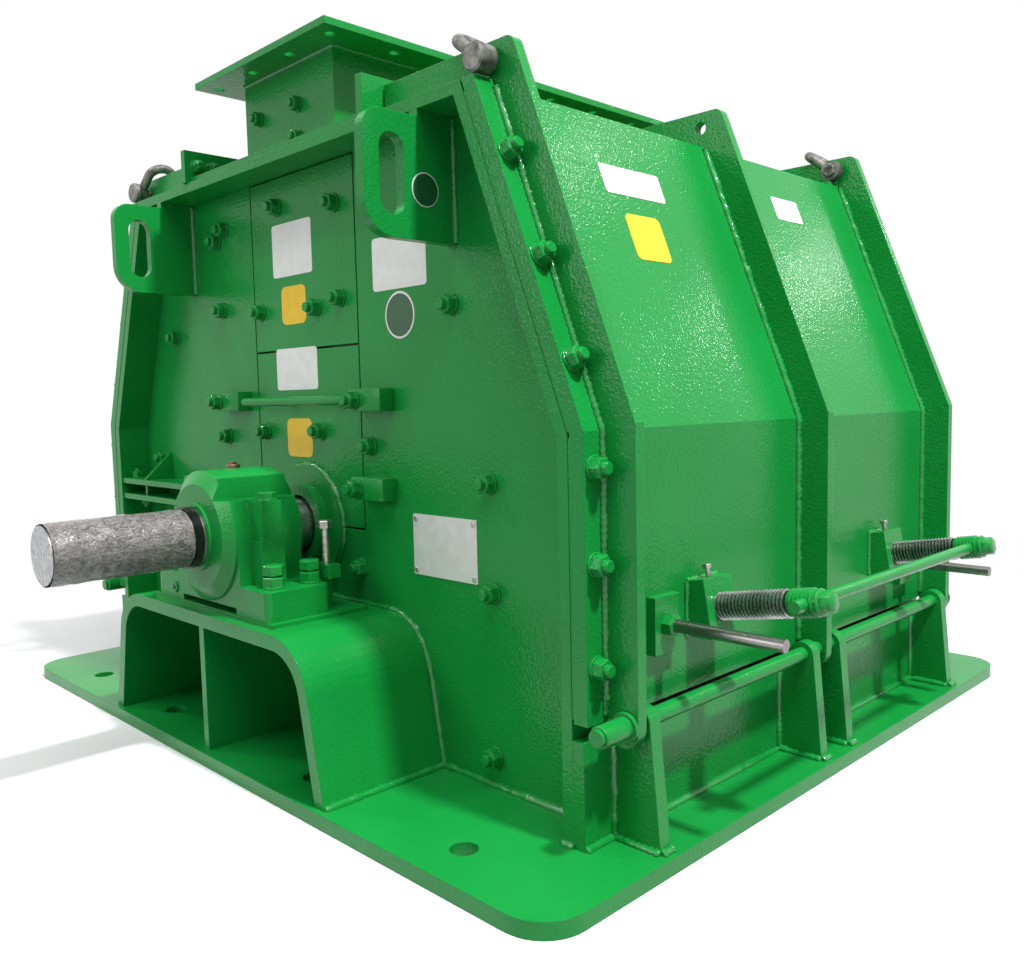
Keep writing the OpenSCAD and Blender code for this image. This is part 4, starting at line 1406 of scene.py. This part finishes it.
@dataclass
class Shackle:
    """Pin head and nut of one shackle."""

    side: Side
    end: End
    # Place of the pin; start along it from the rib's middle, radius and length of its head and nut.
    pin: tuple[float, float, float] = (745, 686, 1440)
    head: tuple[float, float, float] = (48, 28, 15)
    nut: tuple[float, float, float] = (48, 19, 11)

    def build(self) -> None:
        """Builds the round head on the outer side and the nut on the inner side."""
        form = Form(f"{self.side.word}_{self.end.word}_pin_ends")
        x, y, z = self.pin
        for out, (start, radius, long), sides in ((-1, self.head, 36), (1, self.nut, 6)):
            point = flip(at(x, -y + out * start, z), self.side.value, self.end.value)
            axis = flip(Vector((0, out, 0)), 1, self.end.value)
            form.round(facing(point, axis), radius, long, sides, 4)
        form.piece(f"{self.side.word}_{self.end.word}_shackle_body", Paint.ZINC)


@dataclass
class ShaftWrap:
    """Polythene film wound round the drive end of the shaft, loose and creased."""

    y0: float = -1303.0
    y1: float = -1003.0
    radius: float = 65.5
    crease: float = 2.6
    flat: tuple[float, float] = (0.42, 0.30)
    rings: int = 46
    sides: int = 72
    film_t: float = 0.4

    def build(self) -> None:
        """Builds the film as a creased tube with its own thickness, open at the tip."""
        form = Form("shaft_film")
        place = facing(at(0, self.y1, M.axis_z), Vector((0, -1, 0)))
        bmesh.ops.create_circle(form.bm, cap_ends=False, radius=self.radius * MM, segments=self.sides,
                                matrix=place)
        step = (self.y1 - self.y0) / self.rings * MM
        edges = list(form.bm.edges)
        for _ in range(self.rings):
            grown = bmesh.ops.extrude_edge_only(form.bm, edges=edges)["geom"]
            moved = [g for g in grown if isinstance(g, bmesh.types.BMVert)]
            edges = [g for g in grown if isinstance(g, bmesh.types.BMEdge)]
            bmesh.ops.translate(form.bm, verts=moved, vec=Vector((0, -step, 0)))
        middle = at(0, 0, M.axis_z)
        for v in form.bm.verts:
            arm = Vector((v.co.x, 0, v.co.z - middle.z))
            turn = math.atan2(arm.z, arm.x)
            along = v.co.y / MM
            spiral = Vector((math.cos(turn) * 2.1, math.sin(turn) * 2.1, along * 0.02 + turn * 0.8))
            # Broad folds, with finer creases of under half their height across them.
            fold = abs(noise.noise(spiral * 1.6)) * 1.4 + abs(noise.noise(spiral * 4.0)) * 0.6
            v.co += arm.normalized() * fold * self.crease * MM
        bmesh.ops.recalc_face_normals(form.bm, faces=form.bm.faces)
        bmesh.ops.solidify(form.bm, geom=form.bm.faces[:], thickness=-self.film_t * MM)
        film = form.piece("rotor", Paint.FILM, 60)


def finish_nodes() -> None:
    """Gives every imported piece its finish."""
    paints = {
        "rotor_shaft": Paint.TURNED, "rotor_discs": Paint.WEAR, "hammer_bars": Paint.WEAR,
        "seal_ring": Paint.RUBBER, "left_breaker_plates": Paint.WEAR, "right_breaker_plates": Paint.WEAR,
        "left_guide_rods": Paint.ROD, "right_guide_rods": Paint.ROD,
        # The adjusting screws get the near-black steel of painted shade; the dressed screw pieces replace
        # them.
        "left_adjusting_screws": Paint.THREAD, "right_adjusting_screws": Paint.THREAD,
    }
    for name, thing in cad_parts.items():
        paint = Paint.ZINC if name.endswith("shackle") else paints.get(name, Paint.ENAMEL)
        for place in thing.material_slots:
            place.material = SHOP.get(paint)


def main() -> None:
    """Builds the dressed machine piece by piece."""
    logging.basicConfig(level=logging.INFO, format="%(name)s: %(message)s")
    Stage().build()
    finish_nodes()
    for end in BOTH_ENDS:
        EndWall(end).build()
        Bearing(end).build()
        Shelf(end).build()
    for side in BOTH_SIDES:
        Cover(side).build()
        Adjusters(side).build()
        Hinge(side).build()
        for end in BOTH_ENDS:
            Shackle(side, end).build()
    Stickers().build()
    Inlet().build()
    ShaftWrap().build()


if __name__ == "__main__":
    main()
